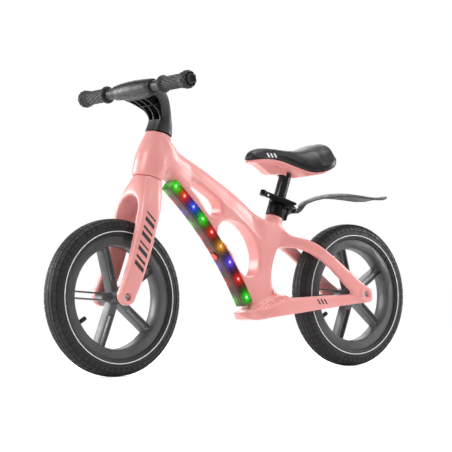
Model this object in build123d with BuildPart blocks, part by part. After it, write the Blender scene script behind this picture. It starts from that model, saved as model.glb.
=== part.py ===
from build123d import *
import os
from math import cos, radians, sin

# Child's balance bike: no pedals, one-piece frame, 12 inch wheels.
# Frame of reference: +X forward, +Y the rider's left, +Z up, millimetres, with the origin
# on the ground midway between the two axles.

# ------------------------------------------------------------------ wheels
WHEELBASE = 611.0
TYRE_R = 150.0            # outer radius of the tyre, and the height of both axles
TYRE_HALF = 22.0          # half the width of the tyre
RIM_OUTER_R = 116.0
RIM_INNER_R = 97.0
RIM_HALF = 17.5
SPOKES = 5
SPOKE_START = 4.0         # degrees from +X towards +Z
SPOKE_WIDTH = 15.0
SPOKE_GAP = 10.0          # see-through gap between the two walls of a spoke
SPOKE_SPLIT_R = 34.0      # where a spoke divides into its two walls
HUB_R = 14.5
HUB_HALF = 28.0
AXLE_R = 4.0
BEARING_R = 11.0
BEARING_WIDTH = 7.0
RUNNING = 0.05            # radial clearance of every running fit
VALVE_ANGLE = -30.0

# ------------------------------------------------------------------ steering
STEER_X = 295.0           # where the steering axis crosses axle height
STEER_LEAN = 18.2         # degrees back from vertical
CROWN_TOP = 239.6         # distances along the steering axis from axle height
HEAD_BOTTOM = 240.4
HEAD_TOP = 332.5
STEERER_R = 12.7
HEADSET_R = 19.0
HEAD_FOOT_R = 31.0        # head tube and fork crown where they meet
CROWN_ROOM_R = 46.0       # radius kept clear for the turning crown
FORK_IN = 32.0            # inner and outer faces of the fork legs
FORK_OUT = 49.0
DROPOUT_R = 19.0

# ------------------------------------------------------------------ handlebar
BAR_X = 245.4
BAR_Z = 550.8
BAR_R = 11.1
BAR_HALF = 180.0
SLEEVE_HALF = 60.0

# ------------------------------------------------------------------ frame
PANEL_HALF = 19.0         # half thickness of the main panel
NECK_X = 126.0            # where the panel starts to widen towards the head tube
NECK_MIDDLE_HALF = 27.5
NECK_HALF = 32.5
REAR_IN = 41.0            # inner and outer faces of the rear dropouts
REAR_OUT = 56.0
REAR_DROPOUT_R = 16.5

# ------------------------------------------------------------------ seat
SEAT_X = -102.5           # centre of the seat tube's top rim
SEAT_Z = 312.0
SEAT_LEAN = 20.7          # degrees back from vertical
POST_R = 12.7
SEAT_TUBE_R = 18.0
SEAT_BORE = 136.0         # depth of the bore below the rim
COLLAR_R = 19.0
COLLAR_TOP = 25.0         # distances along the seat axis from the top rim
CLAMP_BOTTOM = 26.0
CLAMP_TOP = 37.0
COLLAR_BOLTS = (7.0, 19.0)  # heights of the two bolts in the collar's lug
LEVER_U = -20.0           # lever pivot, behind and left of the seat axis
LEVER_Y = 24.0
CAM_R = 7.0               # barrel of the lever's cam
DRAW_BOLT_T = 31.5        # height of the draw bolt along the seat axis

LIP = 9.0                 # depth of the saddle shell's edge
KEEL_HALF = 15.5

# ------------------------------------------------------------------ light strip
STRIP_X = 648.0           # centre of the arc that the strip follows
STRIP_Z = -198.0
STRIP_R = 754.0           # radius of its back edge
STRIP_DEPTH = 23.0
STRIP_HALF = 14.5
STRIP_FROM = 130.2        # degrees round that centre
STRIP_TO = 153.4
STRIP_WALL = 1.8
LIGHTS = 9
STRIP_SCREWS = (132.0, 141.8, 151.2)
BUTTON_ANGLE = 144.1
BUTTON_R = 7.5

# ------------------------------------------------------------------ mudguard
GUARD_PIVOT_X = -152.0
GUARD_PIVOT_Z = 325.0
GUARD_HALF = 33.0
CHEEK_IN = 4.4            # bracket cheeks either side of the mudguard's root
CHEEK_OUT = 7.4

SIDE = Plane.XZ


def tilted(x, z, lean):
    """Side-view plane whose local y axis leans back from vertical by `lean` degrees."""
    a = radians(lean)
    return Plane(origin=(x, 0, z), x_dir=(cos(a), 0, sin(a)), z_dir=(0, -1, 0))


def across(plane, height, side=0.0):
    """Plane square to a tilted plane's local y axis, at a height along it."""
    return Plane(
        origin=plane.from_local_coords((side, height, 0)),
        x_dir=plane.x_dir,
        z_dir=plane.y_dir,
    )


STEER = tilted(STEER_X, TYRE_R, STEER_LEAN)
STEER_AXIS = Axis(STEER.origin, STEER.y_dir)
SEAT = tilted(SEAT_X, SEAT_Z, SEAT_LEAN)
CROSS_SIGN = 1.0 if across(SEAT, 0).y_dir.Y > 0 else -1.0     # which way local y runs across the bike
FRONT_X = WHEELBASE / 2
REAR_X = -WHEELBASE / 2


def strip_point(radius, angle):
    """Side-view point on the light strip, by radius and degrees about its arc's centre."""
    a = radians(angle)
    return (STRIP_X + radius * cos(a), STRIP_Z + radius * sin(a))


def save(builder, name):
    """Label a finished piece and write it as its own STEP file."""
    builder.part.label = name
    export_step(builder.part, f"parts/{name}.step")


def tube(plane, low, high, outer, inner=0.0):
    """Ring or rod about a tilted plane's local y axis."""
    with BuildPart() as ring:
        with BuildSketch(across(plane, low)):
            Circle(outer)
            if inner:
                Circle(inner, mode=Mode.SUBTRACT)
        extrude(amount=high - low)
    return ring


def cross_rod(x, z, y_from, y_to, outer, inner=0.0):
    """Ring or rod lying along Y."""
    with BuildPart() as rod:
        with BuildSketch(Plane(origin=(x, y_from, z), x_dir=(1, 0, 0), z_dir=(0, 1, 0))):
            Circle(outer)
            if inner:
                Circle(inner, mode=Mode.SUBTRACT)
        extrude(amount=y_to - y_from)
    return rod


# ================================================================== frame
def frame_panel():
    """Main panel of the frame with its two windows, edges rounded."""
    with BuildPart() as panel:
        with BuildSketch(SIDE):
            with BuildLine():
                Spline((172, 455), (162, 443), (147, 432), (118, 417), (50, 380), (-20, 335), (-62, 306),
                       (-80, 302))
                Polyline((-80, 302), (-112, 292), (-120, 279))
                Spline((-120, 279), (-95, 241), (-80, 199), (-81, 170), (-108, 148))
                Polyline((-108, 148), (-108, 118), (-14, 112), strip_point(STRIP_R, STRIP_TO + 0.3))
                ThreePointArc(strip_point(STRIP_R, STRIP_TO + 0.3), strip_point(STRIP_R, 142),
                              strip_point(STRIP_R, STRIP_FROM))
                Polyline(strip_point(STRIP_R, STRIP_FROM), (200, 376), (190, 440), (172, 455))
            make_face()
        extrude(amount=PANEL_HALF, both=True)
        near = panel.faces().sort_by(Axis.Y)
        fillet(near[-1].edges() + near[0].edges(), radius=7.0)
        with BuildSketch(SIDE):
            with BuildLine():
                Spline((126, 366), (119, 374), (100, 368), (77, 354), (52, 333), (51, 315), (66, 307),
                       (84, 315), (104, 341), (122, 359), periodic=True)
            make_face()
            with BuildLine():
                Spline((58, 287), (48, 298), (24, 302), (0, 296), (-28, 272), (-43, 240), (-43, 206),
                       (-28, 187), (-6, 192), (12, 214), (38, 252), periodic=True)
            make_face()
        extrude(amount=PANEL_HALF + 1, both=True, mode=Mode.SUBTRACT)
    return panel


def frame_stays():
    """Seat stays: their side outline cut to their plan outline, both sides alike."""
    with BuildPart() as stays:
        with BuildSketch(SIDE):
            with BuildLine():
                Polyline((-88, 244), (-88, 286), (-115, 282))
                Spline((-115, 282), (-132, 271), (-150, 267), (-172, 260), (-214, 235), (-262, 201),
                       (-315, 163))
                Line((-315, 163), (-292, 140))
                Spline((-292, 140), (-269, 156), (-214, 205), (-163, 237), (-121, 249), (-88, 244))
            make_face()
        extrude(amount=REAR_OUT + 4, both=True)
        with BuildSketch(Plane.XY):
            with BuildLine():
                Polyline((-80, 0), (-80, 17), (-105, 18))
                Spline((-105, 18), (-135, 32), (-165, 42), (-240, 52), (-325, REAR_OUT))
                Polyline((-325, REAR_OUT), (-325, REAR_IN), (-290, REAR_IN))
                Spline((-290, REAR_IN), (-262, 39), (-200, 33), (-165, 27), (-140, 15), (-128, 0))
                Line((-128, 0), (-80, 0))
            make_face()
            mirror(about=Plane.XZ)
        extrude(amount=400, mode=Mode.INTERSECT)
    return stays


def frame_base():
    """Foot step and chainstays: side outline cut to the plan outline."""
    with BuildPart() as base:
        with BuildSketch(SIDE):
            with BuildLine():
                Spline((2, 112), (-8, 119), (-35, 123), (-62, 132), (-88, 141), (-120, 144.5), (-185, 148),
                       (-290, 152))
                Polyline((-290, 152), (-322, 152), (-322, 134), (-300, 132))
                Spline((-300, 132), (-212, 122.5), (-110, 111), (-55, 104.5), (-8, 105), (2, 112))
            make_face()
        extrude(amount=REAR_OUT + 4, both=True)
        with BuildSketch(Plane.XY):
            with BuildLine():
                Spline((2, 0), (-4, 16), (-30, 33), (-70, 45), (-120, 47), (-200, 49), (-325, REAR_OUT))
                Polyline((-325, REAR_OUT), (-325, REAR_IN), (-290, REAR_IN))
                Spline((-290, REAR_IN), (-262, 39), (-200, 33), (-165, 28), (-145, 16), (-138, 0))
                Line((-138, 0), (2, 0))
            make_face()
            mirror(about=Plane.XZ)
        extrude(amount=400, mode=Mode.INTERSECT)
        # ramp that rises from the step to the main panel
        with BuildSketch(SIDE):
            with BuildLine():
                Spline((-12, 116), (-40, 132), (-75, 147), (-112, 149))
                Polyline((-112, 149), (-112, 120), (-12, 112), (-12, 116))
            make_face()
        extrude(amount=30, both=True)
    return base


def frame_neck():
    """Neck that widens from the main panel to the head tube, clear of the light strip."""
    with BuildPart() as neck:
        with BuildSketch(Plane(origin=(NECK_X, 0, 391), x_dir=(0, 1, 0), z_dir=(1, 0, 0))):
            RectangleRounded(2 * PANEL_HALF - 0.4, 60, 7)
        with BuildSketch(Plane(origin=(164, 0, 404), x_dir=(0, 1, 0), z_dir=(0.985, 0, 0.174))):
            RectangleRounded(2 * NECK_MIDDLE_HALF, 68, 12)
        with BuildSketch(Plane(origin=STEER.from_local_coords((0, 293, 0)), x_dir=(0, 1, 0),
                               z_dir=STEER.x_dir)):
            RectangleRounded(2 * NECK_HALF, 76, 14)
        loft()
        add(strip_sector(STRIP_FRONT - 6, STRIP_R, STRIP_FROM - 3, STRIP_TO, NECK_HALF + 10).part,
            mode=Mode.SUBTRACT)
    return neck


def frame():
    """One-piece cast frame: head tube, panel, seat tube, stays, step and dropouts."""
    panel = frame_panel()
    stays = frame_stays()
    base = frame_base()
    room = strip_sector(STRIP_FRONT - 6, STRIP_R, STRIP_FROM - 3, STRIP_TO + 0.15, STRIP_HALF + 10)
    with BuildPart() as body:
        add(panel.part)
        add(stays.part)
        add(base.part)
        add(frame_neck().part)
        for side in (1, -1):
            with BuildSketch(Plane(origin=(REAR_X, side * REAR_IN, TYRE_R), x_dir=(1, 0, 0),
                                   z_dir=(0, side, 0))):
                Circle(REAR_DROPOUT_R)
            extrude(amount=REAR_OUT - REAR_IN)
        # head tube swells in its middle
        with BuildSketch(STEER):
            with BuildLine():
                Line((0, HEAD_BOTTOM), (HEAD_FOOT_R, HEAD_BOTTOM))
                Spline((HEAD_FOOT_R, HEAD_BOTTOM), (33.6, 262), (33.5, 287), (29.5, 312), (25.5, HEAD_TOP))
                Polyline((25.5, HEAD_TOP), (0, HEAD_TOP), (0, HEAD_BOTTOM))
            make_face()
        revolve(axis=STEER_AXIS)
        with BuildSketch(across(SEAT, -75)):
            Circle(SEAT_TUBE_R)
        extrude(amount=75)
        # room below the head tube for the turning fork crown
        with BuildSketch(across(STEER, HEAD_BOTTOM)):
            Circle(CROWN_ROOM_R)
        extrude(amount=-45, mode=Mode.SUBTRACT)
        # seat for the light strip, and its screw holes
        add(room.part, mode=Mode.SUBTRACT)
        for angle in STRIP_SCREWS:
            with BuildSketch(strip_plane(angle, STRIP_R - 1)):
                Circle(2.1)
            extrude(amount=-11, mode=Mode.SUBTRACT)
        # bores: headset, seat post, rear axle
        with BuildSketch(across(STEER, HEAD_BOTTOM)):
            Circle(16)
        extrude(amount=HEAD_TOP - HEAD_BOTTOM, mode=Mode.SUBTRACT)
        for low, depth in ((HEAD_BOTTOM, 9.0), (HEAD_TOP, -9.0)):
            with BuildSketch(across(STEER, low)):
                Circle(HEADSET_R)
            extrude(amount=depth, mode=Mode.SUBTRACT)
        with BuildSketch(across(SEAT, 0)):
            Circle(POST_R + RUNNING)
        extrude(amount=-SEAT_BORE, mode=Mode.SUBTRACT)
        with BuildSketch(Plane(origin=(REAR_X, 0, TYRE_R), x_dir=(1, 0, 0), z_dir=(0, 1, 0))):
            Circle(AXLE_R)
        extrude(amount=REAR_OUT + 1, both=True, mode=Mode.SUBTRACT)
        for side in (1, -1):
            with BuildSketch(Plane(origin=(REAR_X, side * REAR_OUT, TYRE_R), x_dir=(1, 0, 0),
                                   z_dir=(0, side, 0))):
                Circle(7.2)
            extrude(amount=-9, mode=Mode.SUBTRACT)
    return body


# ================================================================== light strip
def strip_sector(r_from, r_to, a_from, a_to, half, shift=0.0):
    """Solid between two radii and two angles of the strip's arc, `half` each side of `shift`."""
    with BuildPart() as sector:
        with BuildSketch(Plane(origin=(STRIP_X, shift, STRIP_Z), x_dir=(1, 0, 0), z_dir=(0, -1, 0))):
            corners = [(r * cos(radians(a)), r * sin(radians(a)))
                       for r, a in ((r_from, a_from), (r_to, a_from), (r_to, a_to), (r_from, a_to))]
            with BuildLine():
                Line(corners[0], corners[1])
                CenterArc((0, 0), r_to, a_from, a_to - a_from)
                Line(corners[2], corners[3])
                CenterArc((0, 0), r_from, a_from, a_to - a_from)
            make_face()
        extrude(amount=half, both=True)
    return sector


def strip_plane(angle, radius, y=0.0):
    """Plane on the strip at an angle, facing out of its front."""
    a = radians(angle)
    return Plane(
        origin=(STRIP_X + radius * cos(a), y, STRIP_Z + radius * sin(a)),
        x_dir=(0, 1, 0),
        z_dir=(-cos(a), 0, -sin(a)),
    )


def light_angle(index):
    """Lights stand a little closer together near the head tube."""
    return 130.8 + 2.08 * index + 0.077 * index**2


STRIP_BACK = STRIP_R - 0.3
STRIP_FRONT = STRIP_R - STRIP_DEPTH


def light_base():
    """Tray that carries the lights and is screwed to the frame."""
    tray = strip_sector(STRIP_BACK - 3, STRIP_BACK, STRIP_FROM + 0.25, STRIP_TO - 0.25,
                        STRIP_HALF - STRIP_WALL - 0.2)
    with BuildPart() as base:
        add(tray.part)
        for angle in STRIP_SCREWS:
            with BuildSketch(strip_plane(angle, STRIP_BACK + 1)):
                Circle(2.1)
            extrude(amount=6, mode=Mode.SUBTRACT)
    return base


def light_cover():
    """Smoked U-shaped cover with a hole for the button."""
    outer = strip_sector(STRIP_FRONT, STRIP_BACK, STRIP_FROM, STRIP_TO, STRIP_HALF)
    inner = strip_sector(STRIP_FRONT + STRIP_WALL, STRIP_BACK + 1, STRIP_FROM + 0.15, STRIP_TO - 0.15,
                         STRIP_HALF - STRIP_WALL)
    with BuildPart() as cover:
        add(outer.part)
        front = cover.faces().filter_by(GeomType.CYLINDER).sort_by(lambda f: f.area)[0]
        fillet(front.edges(), radius=3.0)
        add(inner.part, mode=Mode.SUBTRACT)
        with BuildSketch(strip_plane(BUTTON_ANGLE, STRIP_FRONT - 1)):
            Circle(BUTTON_R + 2.2)
        extrude(amount=-6, mode=Mode.SUBTRACT)
    return cover


def light_boards():
    """Two narrow circuit boards inside the side walls of the cover."""
    boards = [strip_sector(r - 4, r + 4, STRIP_FROM + 0.35, STRIP_TO - 0.45, 0.5, side * 10.6)
              for side, r in ((1, STRIP_R - 9), (-1, STRIP_R - 15))]
    with BuildPart() as pair:
        for board in boards:
            add(board.part)
    return pair


def light_leds():
    """Square surface-mounted lights on the outer face of each board."""
    with BuildPart() as leds:
        for index in range(LIGHTS):
            a = radians(light_angle(index))
            for side, r in ((1, STRIP_R - 9), (-1, STRIP_R - 15)):
                x = STRIP_X + r * cos(a)
                z = STRIP_Z + r * sin(a)
                with BuildSketch(Plane(origin=(x, side * 11.1, z), x_dir=(cos(a), 0, sin(a)),
                                       z_dir=(0, side, 0))):
                    Rectangle(5, 5)
                extrude(amount=1.3)
    return leds


def button_bezel():
    """Dark ring that guides the button, with a cup behind it."""
    with BuildPart() as bezel:
        with BuildSketch(strip_plane(BUTTON_ANGLE, STRIP_FRONT - 1.4)):
            Circle(BUTTON_R + 2.0)
            Circle(BUTTON_R + RUNNING, mode=Mode.SUBTRACT)
        extrude(amount=-6.4)
        with BuildSketch(strip_plane(BUTTON_ANGLE, STRIP_FRONT + 5)):
            Circle(BUTTON_R + 2.0)
        extrude(amount=-1.2)
    return bezel


def light_button():
    """Round push button, free to travel inside its bezel."""
    with BuildPart() as button:
        with BuildSketch(strip_plane(BUTTON_ANGLE, STRIP_FRONT + 2.8)):
            Circle(BUTTON_R)
        extrude(amount=6.2)
        fillet(button.faces().sort_by(Axis.Z)[0].edges(), radius=1.2)
    return button


def battery_cells():
    """Two coin cells stacked behind the button."""
    with BuildPart() as cells:
        for depth in (7.3, 10.8):
            with BuildSketch(strip_plane(BUTTON_ANGLE - 2.4, STRIP_FRONT + depth)):
                Circle(9.8)
            extrude(amount=-3.2)
    return cells


def light_screws():
    """Three countersunk screws that hold the tray to the frame."""
    with BuildPart() as screws:
        for angle in STRIP_SCREWS:
            with BuildSketch(strip_plane(angle, STRIP_BACK - 3.15)):
                Circle(3.6)
            extrude(amount=1.4)
            with BuildSketch(strip_plane(angle, STRIP_BACK - 3.15)):
                Circle(2.05)
            extrude(amount=-12)
    return screws


# ================================================================== fork and steering
def fork():
    """Crown and two legs: side outline cut to the front outline, with a tall arch for the tyre."""
    with BuildPart() as body:
        with BuildSketch(STEER):
            with BuildLine():
                Line((-27, CROWN_TOP), (27, CROWN_TOP))
                Spline((27, CROWN_TOP), (31.5, 208), (28, 150), (24, 70), (10 + DROPOUT_R, 3))
                ThreePointArc((10 + DROPOUT_R, 3), (10, -DROPOUT_R), (10 - DROPOUT_R, 2))
                Spline((10 - DROPOUT_R, 2), (-18, 70), (-22, 150), (-27, 195), (-27, CROWN_TOP))
            make_face()
        extrude(amount=FORK_OUT + 5, both=True)
        with BuildSketch(Plane(origin=STEER.origin, x_dir=(0, 1, 0), z_dir=STEER.x_dir)):
            with BuildLine():
                Line((-HEAD_FOOT_R, CROWN_TOP), (HEAD_FOOT_R, CROWN_TOP))
                Spline((HEAD_FOOT_R, CROWN_TOP), (39, 220), (45.5, 195), (FORK_OUT, 160),
                       tangents=((0.35, -1), (0, -1)))
                Polyline((FORK_OUT, 160), (FORK_OUT, -30), (FORK_IN, -30), (FORK_IN, 165))
                ThreePointArc((FORK_IN, 165), (0, 165 + FORK_IN), (-FORK_IN, 165))
                Polyline((-FORK_IN, 165), (-FORK_IN, -30), (-FORK_OUT, -30), (-FORK_OUT, 160))
                Spline((-FORK_OUT, 160), (-45.5, 195), (-39, 220), (-HEAD_FOOT_R, CROWN_TOP),
                       tangents=((0, 1), (0.35, 1)))
            make_face()
        extrude(amount=80, both=True, mode=Mode.INTERSECT)
        corners = body.edges().filter_by(lambda e: e.length > 60)
        fillet(corners, radius=4.5)
        # steerer socket and front axle
        with BuildSketch(across(STEER, CROWN_TOP)):
            Circle(STEERER_R)
        extrude(amount=-32, mode=Mode.SUBTRACT)
        with BuildSketch(Plane(origin=(FRONT_X, 0, TYRE_R), x_dir=(1, 0, 0), z_dir=(0, 1, 0))):
            Circle(AXLE_R)
        extrude(amount=FORK_OUT + 1, both=True, mode=Mode.SUBTRACT)
        for side in (1, -1):
            with BuildSketch(Plane(origin=(FRONT_X, side * FORK_OUT, TYRE_R), x_dir=(1, 0, 0),
                                   z_dir=(0, side, 0))):
                Circle(7.5)
            extrude(amount=-10, mode=Mode.SUBTRACT)
    return body


def stem():
    """Gooseneck stem moulded in one piece with the sleeve that holds the handlebar."""
    bar = STEER.to_local_coords(Vector(BAR_X, 0, BAR_Z))
    with BuildPart() as body:
        with BuildSketch(SIDE):
            with BuildLine():
                Polyline((210, 464), (206, 494))
                Spline((206, 494), (211, 511), (224, 522), (240, 534))
                Polyline((240, 534), (248, 560), (232, 562))
                Spline((232, 562), (203, 548), (188, 530), (176, 505), (169, 466))
                Line((169, 466), (210, 464))
            make_face()
        extrude(amount=SLEEVE_HALF, both=True)
        with BuildSketch(Plane.YZ):
            with BuildLine():
                Line((0, 452), (24, 452))
                Spline((24, 452), (24, 480), (30, 515), (46, 540), (56, 556))
                Polyline((56, 556), (56, 570), (0, 570), (0, 452))
            make_face()
            mirror(about=Plane.YZ)
        extrude(amount=300, mode=Mode.INTERSECT)
        with BuildSketch(across(STEER, HEAD_TOP + 0.7)):
            Circle(25)
        extrude(amount=16)
        with BuildSketch(across(STEER, HEAD_TOP + 0.7)):
            Circle(60)
        extrude(amount=-30, mode=Mode.SUBTRACT)
        # handlebar sleeve swells in its middle
        with BuildSketch(Plane(origin=(BAR_X, 0, BAR_Z), x_dir=(0, 1, 0), z_dir=(1, 0, 0))):
            with BuildLine():
                Line((-SLEEVE_HALF, 0), (-SLEEVE_HALF, 14.6))
                Spline((-SLEEVE_HALF, 14.6), (-30, 17), (0, 18), (30, 17), (SLEEVE_HALF, 14.6))
                Polyline((SLEEVE_HALF, 14.6), (SLEEVE_HALF, 0), (-SLEEVE_HALF, 0))
            make_face()
        revolve(axis=Axis((BAR_X, 0, BAR_Z), (0, 1, 0)))
        # open lattice on the front and underside, between three ribs
        for y in (-27, -9, 9, 27):
            with BuildSketch(Plane(origin=(0, y, 0), x_dir=(1, 0, 0), z_dir=(0, -1, 0))):
                with BuildLine():
                    Spline((212, 486), (216, 508), (231, 520), (250, 530))
                    Line((250, 530), (231, 538))
                    Spline((231, 538), (214, 534), (203, 518), (200, 492))
                    Line((200, 492), (212, 486))
                make_face()
            extrude(amount=6 if abs(y) < 20 else 5, both=True, mode=Mode.SUBTRACT)
        with BuildSketch(across(STEER, HEAD_TOP)):
            Circle(STEERER_R)
        extrude(amount=28, mode=Mode.SUBTRACT)
        with BuildSketch(Plane(origin=(BAR_X, 0, BAR_Z), x_dir=(1, 0, 0), z_dir=(0, 1, 0))):
            Circle(BAR_R)
        extrude(amount=SLEEVE_HALF + 5, both=True, mode=Mode.SUBTRACT)
    return body


def grip(side):
    """Closed-end grip: flange, slim body and a round safety bulb."""
    with BuildPart() as rubber:
        with BuildSketch(Plane(origin=(BAR_X, 0, BAR_Z), x_dir=(0, side, 0), z_dir=(side, 0, 0))):
            with BuildLine():
                Polyline((88, BAR_R), (88, 15.5))
                Spline((88, 15.5), (92.5, 17.2), (97, 14))
                Line((97, 14), (150, 13.5))
                Spline((150, 13.5), (157, 17), (166, 17.6), (175, 14.5), (BAR_HALF, 9))
                Polyline((BAR_HALF, 9), (177, 6), (177, 0), (173, 0), (173, BAR_R), (88, BAR_R))
            make_face()
        revolve(axis=Axis((BAR_X, 0, BAR_Z), (0, 1, 0)))
    return rubber


# ================================================================== wheels
def ring_profile(x, points):
    """Revolve a closed outline of (radius, y) points about the axle at x."""
    with BuildPart() as ring:
        with BuildSketch(Plane(origin=(x, 0, TYRE_R), x_dir=(1, 0, 0), z_dir=(0, 0, 1))):
            with BuildLine():
                Polyline(*points, close=True)
            make_face()
        revolve(axis=Axis((x, 0, TYRE_R), (0, 1, 0)))
    return ring


def rim(x):
    """Moulded wheel: rim channel, five double-wall spokes and hub."""
    with BuildPart() as wheel:
        with BuildSketch(Plane(origin=(x, 0, TYRE_R), x_dir=(1, 0, 0), z_dir=(0, 0, 1))):
            with BuildLine():
                Polyline((RIM_INNER_R, 13), (RIM_INNER_R + 3, RIM_HALF), (RIM_OUTER_R, RIM_HALF),
                         (RIM_OUTER_R, 15), (107, 13), (105, 0), (105, -13), (RIM_OUTER_R, -15),
                         (RIM_OUTER_R, -RIM_HALF), (RIM_INNER_R + 3, -RIM_HALF), (RIM_INNER_R, -13),
                         close=True)
            make_face()
        revolve(axis=Axis((x, 0, TYRE_R), (0, 1, 0)))
        with BuildSketch(Plane(origin=(x, 0, TYRE_R), x_dir=(1, 0, 0), z_dir=(0, -1, 0))):
            with PolarLocations(0, SPOKES, start_angle=SPOKE_START):
                with Locations((53, 0)):
                    Rectangle(92, SPOKE_WIDTH)
                with Locations((SPOKE_SPLIT_R, 0)):
                    Rectangle(RIM_INNER_R, SPOKE_GAP, align=(Align.MIN, Align.CENTER), mode=Mode.SUBTRACT)
        extrude(amount=11, both=True)
        with BuildSketch(Plane(origin=(x, 0, TYRE_R), x_dir=(1, 0, 0), z_dir=(0, -1, 0))):
            Circle(HUB_R)
        extrude(amount=HUB_HALF, both=True)
        with BuildSketch(Plane(origin=(x, 0, TYRE_R), x_dir=(1, 0, 0), z_dir=(0, -1, 0))):
            Circle(7)
        extrude(amount=HUB_HALF, both=True, mode=Mode.SUBTRACT)
        for side in (1, -1):
            with BuildSketch(Plane(origin=(x, side * HUB_HALF, TYRE_R), x_dir=(1, 0, 0),
                                   z_dir=(0, side, 0))):
                Circle(BEARING_R)
            extrude(amount=-BEARING_WIDTH, mode=Mode.SUBTRACT)
        with BuildSketch(valve_plane(x, 90)):
            Circle(3.1)
        extrude(amount=20, mode=Mode.SUBTRACT)
    return wheel


def valve_plane(x, radius):
    """Plane across the valve at a radius, facing outwards."""
    a = radians(VALVE_ANGLE)
    return Plane(
        origin=(x + radius * cos(a), 0, TYRE_R + radius * sin(a)),
        x_dir=(0, 1, 0),
        z_dir=(cos(a), 0, sin(a)),
    )


def tyre(x):
    """Rubber casing, open towards the rim."""
    outer = [(111, 13.2), (116.4, 14.5), (117.2, 18.4), (121, 21.2), (123, TYRE_HALF), (130, TYRE_HALF),
             (138, 20), (145, 15), (149, 8), (TYRE_R, 3)]
    inner = [(145.5, 3), (144.5, 8), (140, 13), (134, 16.5), (126, 17.8), (119, 14.5), (111, 10.5)]
    far_outer = [(r, -y) for r, y in reversed(outer)]
    far_inner = [(r, -y) for r, y in reversed(inner)]
    return ring_profile(x, outer + far_outer + far_inner + inner)


def inner_tube(x):
    """Thin hollow ring of butyl rubber."""
    with BuildPart() as ring:
        with BuildSketch(Plane(origin=(x, 0, TYRE_R), x_dir=(1, 0, 0), z_dir=(0, 0, 1))):
            with Locations((126.5, 0)):
                Ellipse(18, 14)
                Ellipse(16.8, 12.8, mode=Mode.SUBTRACT)
        revolve(axis=Axis((x, 0, TYRE_R), (0, 1, 0)))
    return ring


def stripes(x):
    """Reflective line on each side wall of the tyre."""
    left = ring_profile(x, [(124.2, TYRE_HALF), (125.8, TYRE_HALF), (125.8, 22.5), (124.2, 22.5)])
    with BuildPart() as pair:
        add(left.part)
        mirror(left.part, about=Plane.XZ)
    return pair


def valve(x):
    """Brass valve stem from the inner tube through the rim."""
    with BuildPart() as stem_rod:
        with BuildSketch(valve_plane(x, 80)):
            Circle(3.0)
        extrude(amount=28.3)
    return stem_rod


def valve_cap(x):
    """Plastic dust cap on the valve."""
    with BuildPart() as cap:
        with BuildSketch(valve_plane(x, 75)):
            Circle(4.2)
        extrude(amount=14)
        fillet(cap.faces().sort_by(Axis.X)[0].edges(), radius=1.0)
        with BuildSketch(valve_plane(x, 80)):
            Circle(3.0)
        extrude(amount=12, mode=Mode.SUBTRACT)
    return cap


def hub_bearings(x):
    """Pair of sealed cartridge bearings."""
    width = BEARING_WIDTH
    inner = AXLE_R + RUNNING
    left = ring_profile(x, [(inner, HUB_HALF - width), (BEARING_R, HUB_HALF - width), (BEARING_R, HUB_HALF),
                            (9.4, HUB_HALF), (9.0, HUB_HALF - 0.6), (6.4, HUB_HALF - 0.6),
                            (6.0, HUB_HALF), (inner, HUB_HALF)])
    with BuildPart() as pair:
        add(left.part)
        mirror(left.part, about=Plane.XZ)
    return pair


def hub_spacer(x):
    """Tube between the two bearings."""
    return cross_rod(x, TYRE_R, -HUB_HALF + BEARING_WIDTH, HUB_HALF - BEARING_WIDTH, 6.2, AXLE_R + RUNNING)


def axle(x, half):
    """Axle, tapped at both ends."""
    with BuildPart() as rod:
        with BuildSketch(Plane(origin=(x, 0, TYRE_R), x_dir=(1, 0, 0), z_dir=(0, 1, 0))):
            Circle(AXLE_R)
        extrude(amount=half, both=True)
        for side in (1, -1):
            with BuildSketch(Plane(origin=(x, side * half, TYRE_R), x_dir=(1, 0, 0), z_dir=(0, side, 0))):
                Circle(2.5)
            extrude(amount=-14, mode=Mode.SUBTRACT)
    return rod


def axle_bolts(x, half):
    """Round-headed socket bolts screwed into both ends of an axle."""
    with BuildPart() as bolts:
        for side in (1, -1):
            with BuildSketch(Plane(origin=(x, side * half, TYRE_R), x_dir=(1, 0, 0), z_dir=(0, side, 0))):
                Circle(6.6)
            extrude(amount=4.2)
            with BuildSketch(Plane(origin=(x, side * half, TYRE_R), x_dir=(1, 0, 0), z_dir=(0, side, 0))):
                Circle(2.5)
            extrude(amount=-12)
        heads = bolts.faces().filter_by(Axis.Y).sort_by(Axis.Y)
        fillet([heads[0].edges()[0], heads[-1].edges()[0]], radius=1.5)
        for side in (1, -1):
            with BuildSketch(Plane(origin=(x, side * (half + 4.2), TYRE_R), x_dir=(1, 0, 0),
                                   z_dir=(0, side, 0))):
                RegularPolygon(radius=2.9, side_count=6)
            extrude(amount=-2.6, mode=Mode.SUBTRACT)
    return bolts


def axle_spacers(x, outer):
    """Collars between the hub and the dropouts."""
    left = cross_rod(x, TYRE_R, HUB_HALF + 0.5, outer, 7.5, AXLE_R)
    with BuildPart() as pair:
        add(left.part)
        mirror(left.part, about=Plane.XZ)
    return pair


# ================================================================== seat
def seat_collar():
    """Sleeve above the seat tube, with a lug behind for the mudguard bracket."""
    with BuildPart() as collar:
        with BuildSketch(across(SEAT, 0.3)):
            Circle(COLLAR_R)
            with Locations((-17, 0)):
                Rectangle(14, 12)
            Circle(POST_R + RUNNING, mode=Mode.SUBTRACT)
        extrude(amount=COLLAR_TOP - 0.3)
        for height in COLLAR_BOLTS:
            with BuildSketch(Plane(origin=SEAT.from_local_coords((-24, height, 0)), x_dir=(0, 1, 0),
                                   z_dir=SEAT.x_dir)):
                Circle(2.0)
            extrude(amount=9, mode=Mode.SUBTRACT)
    return collar


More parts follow.
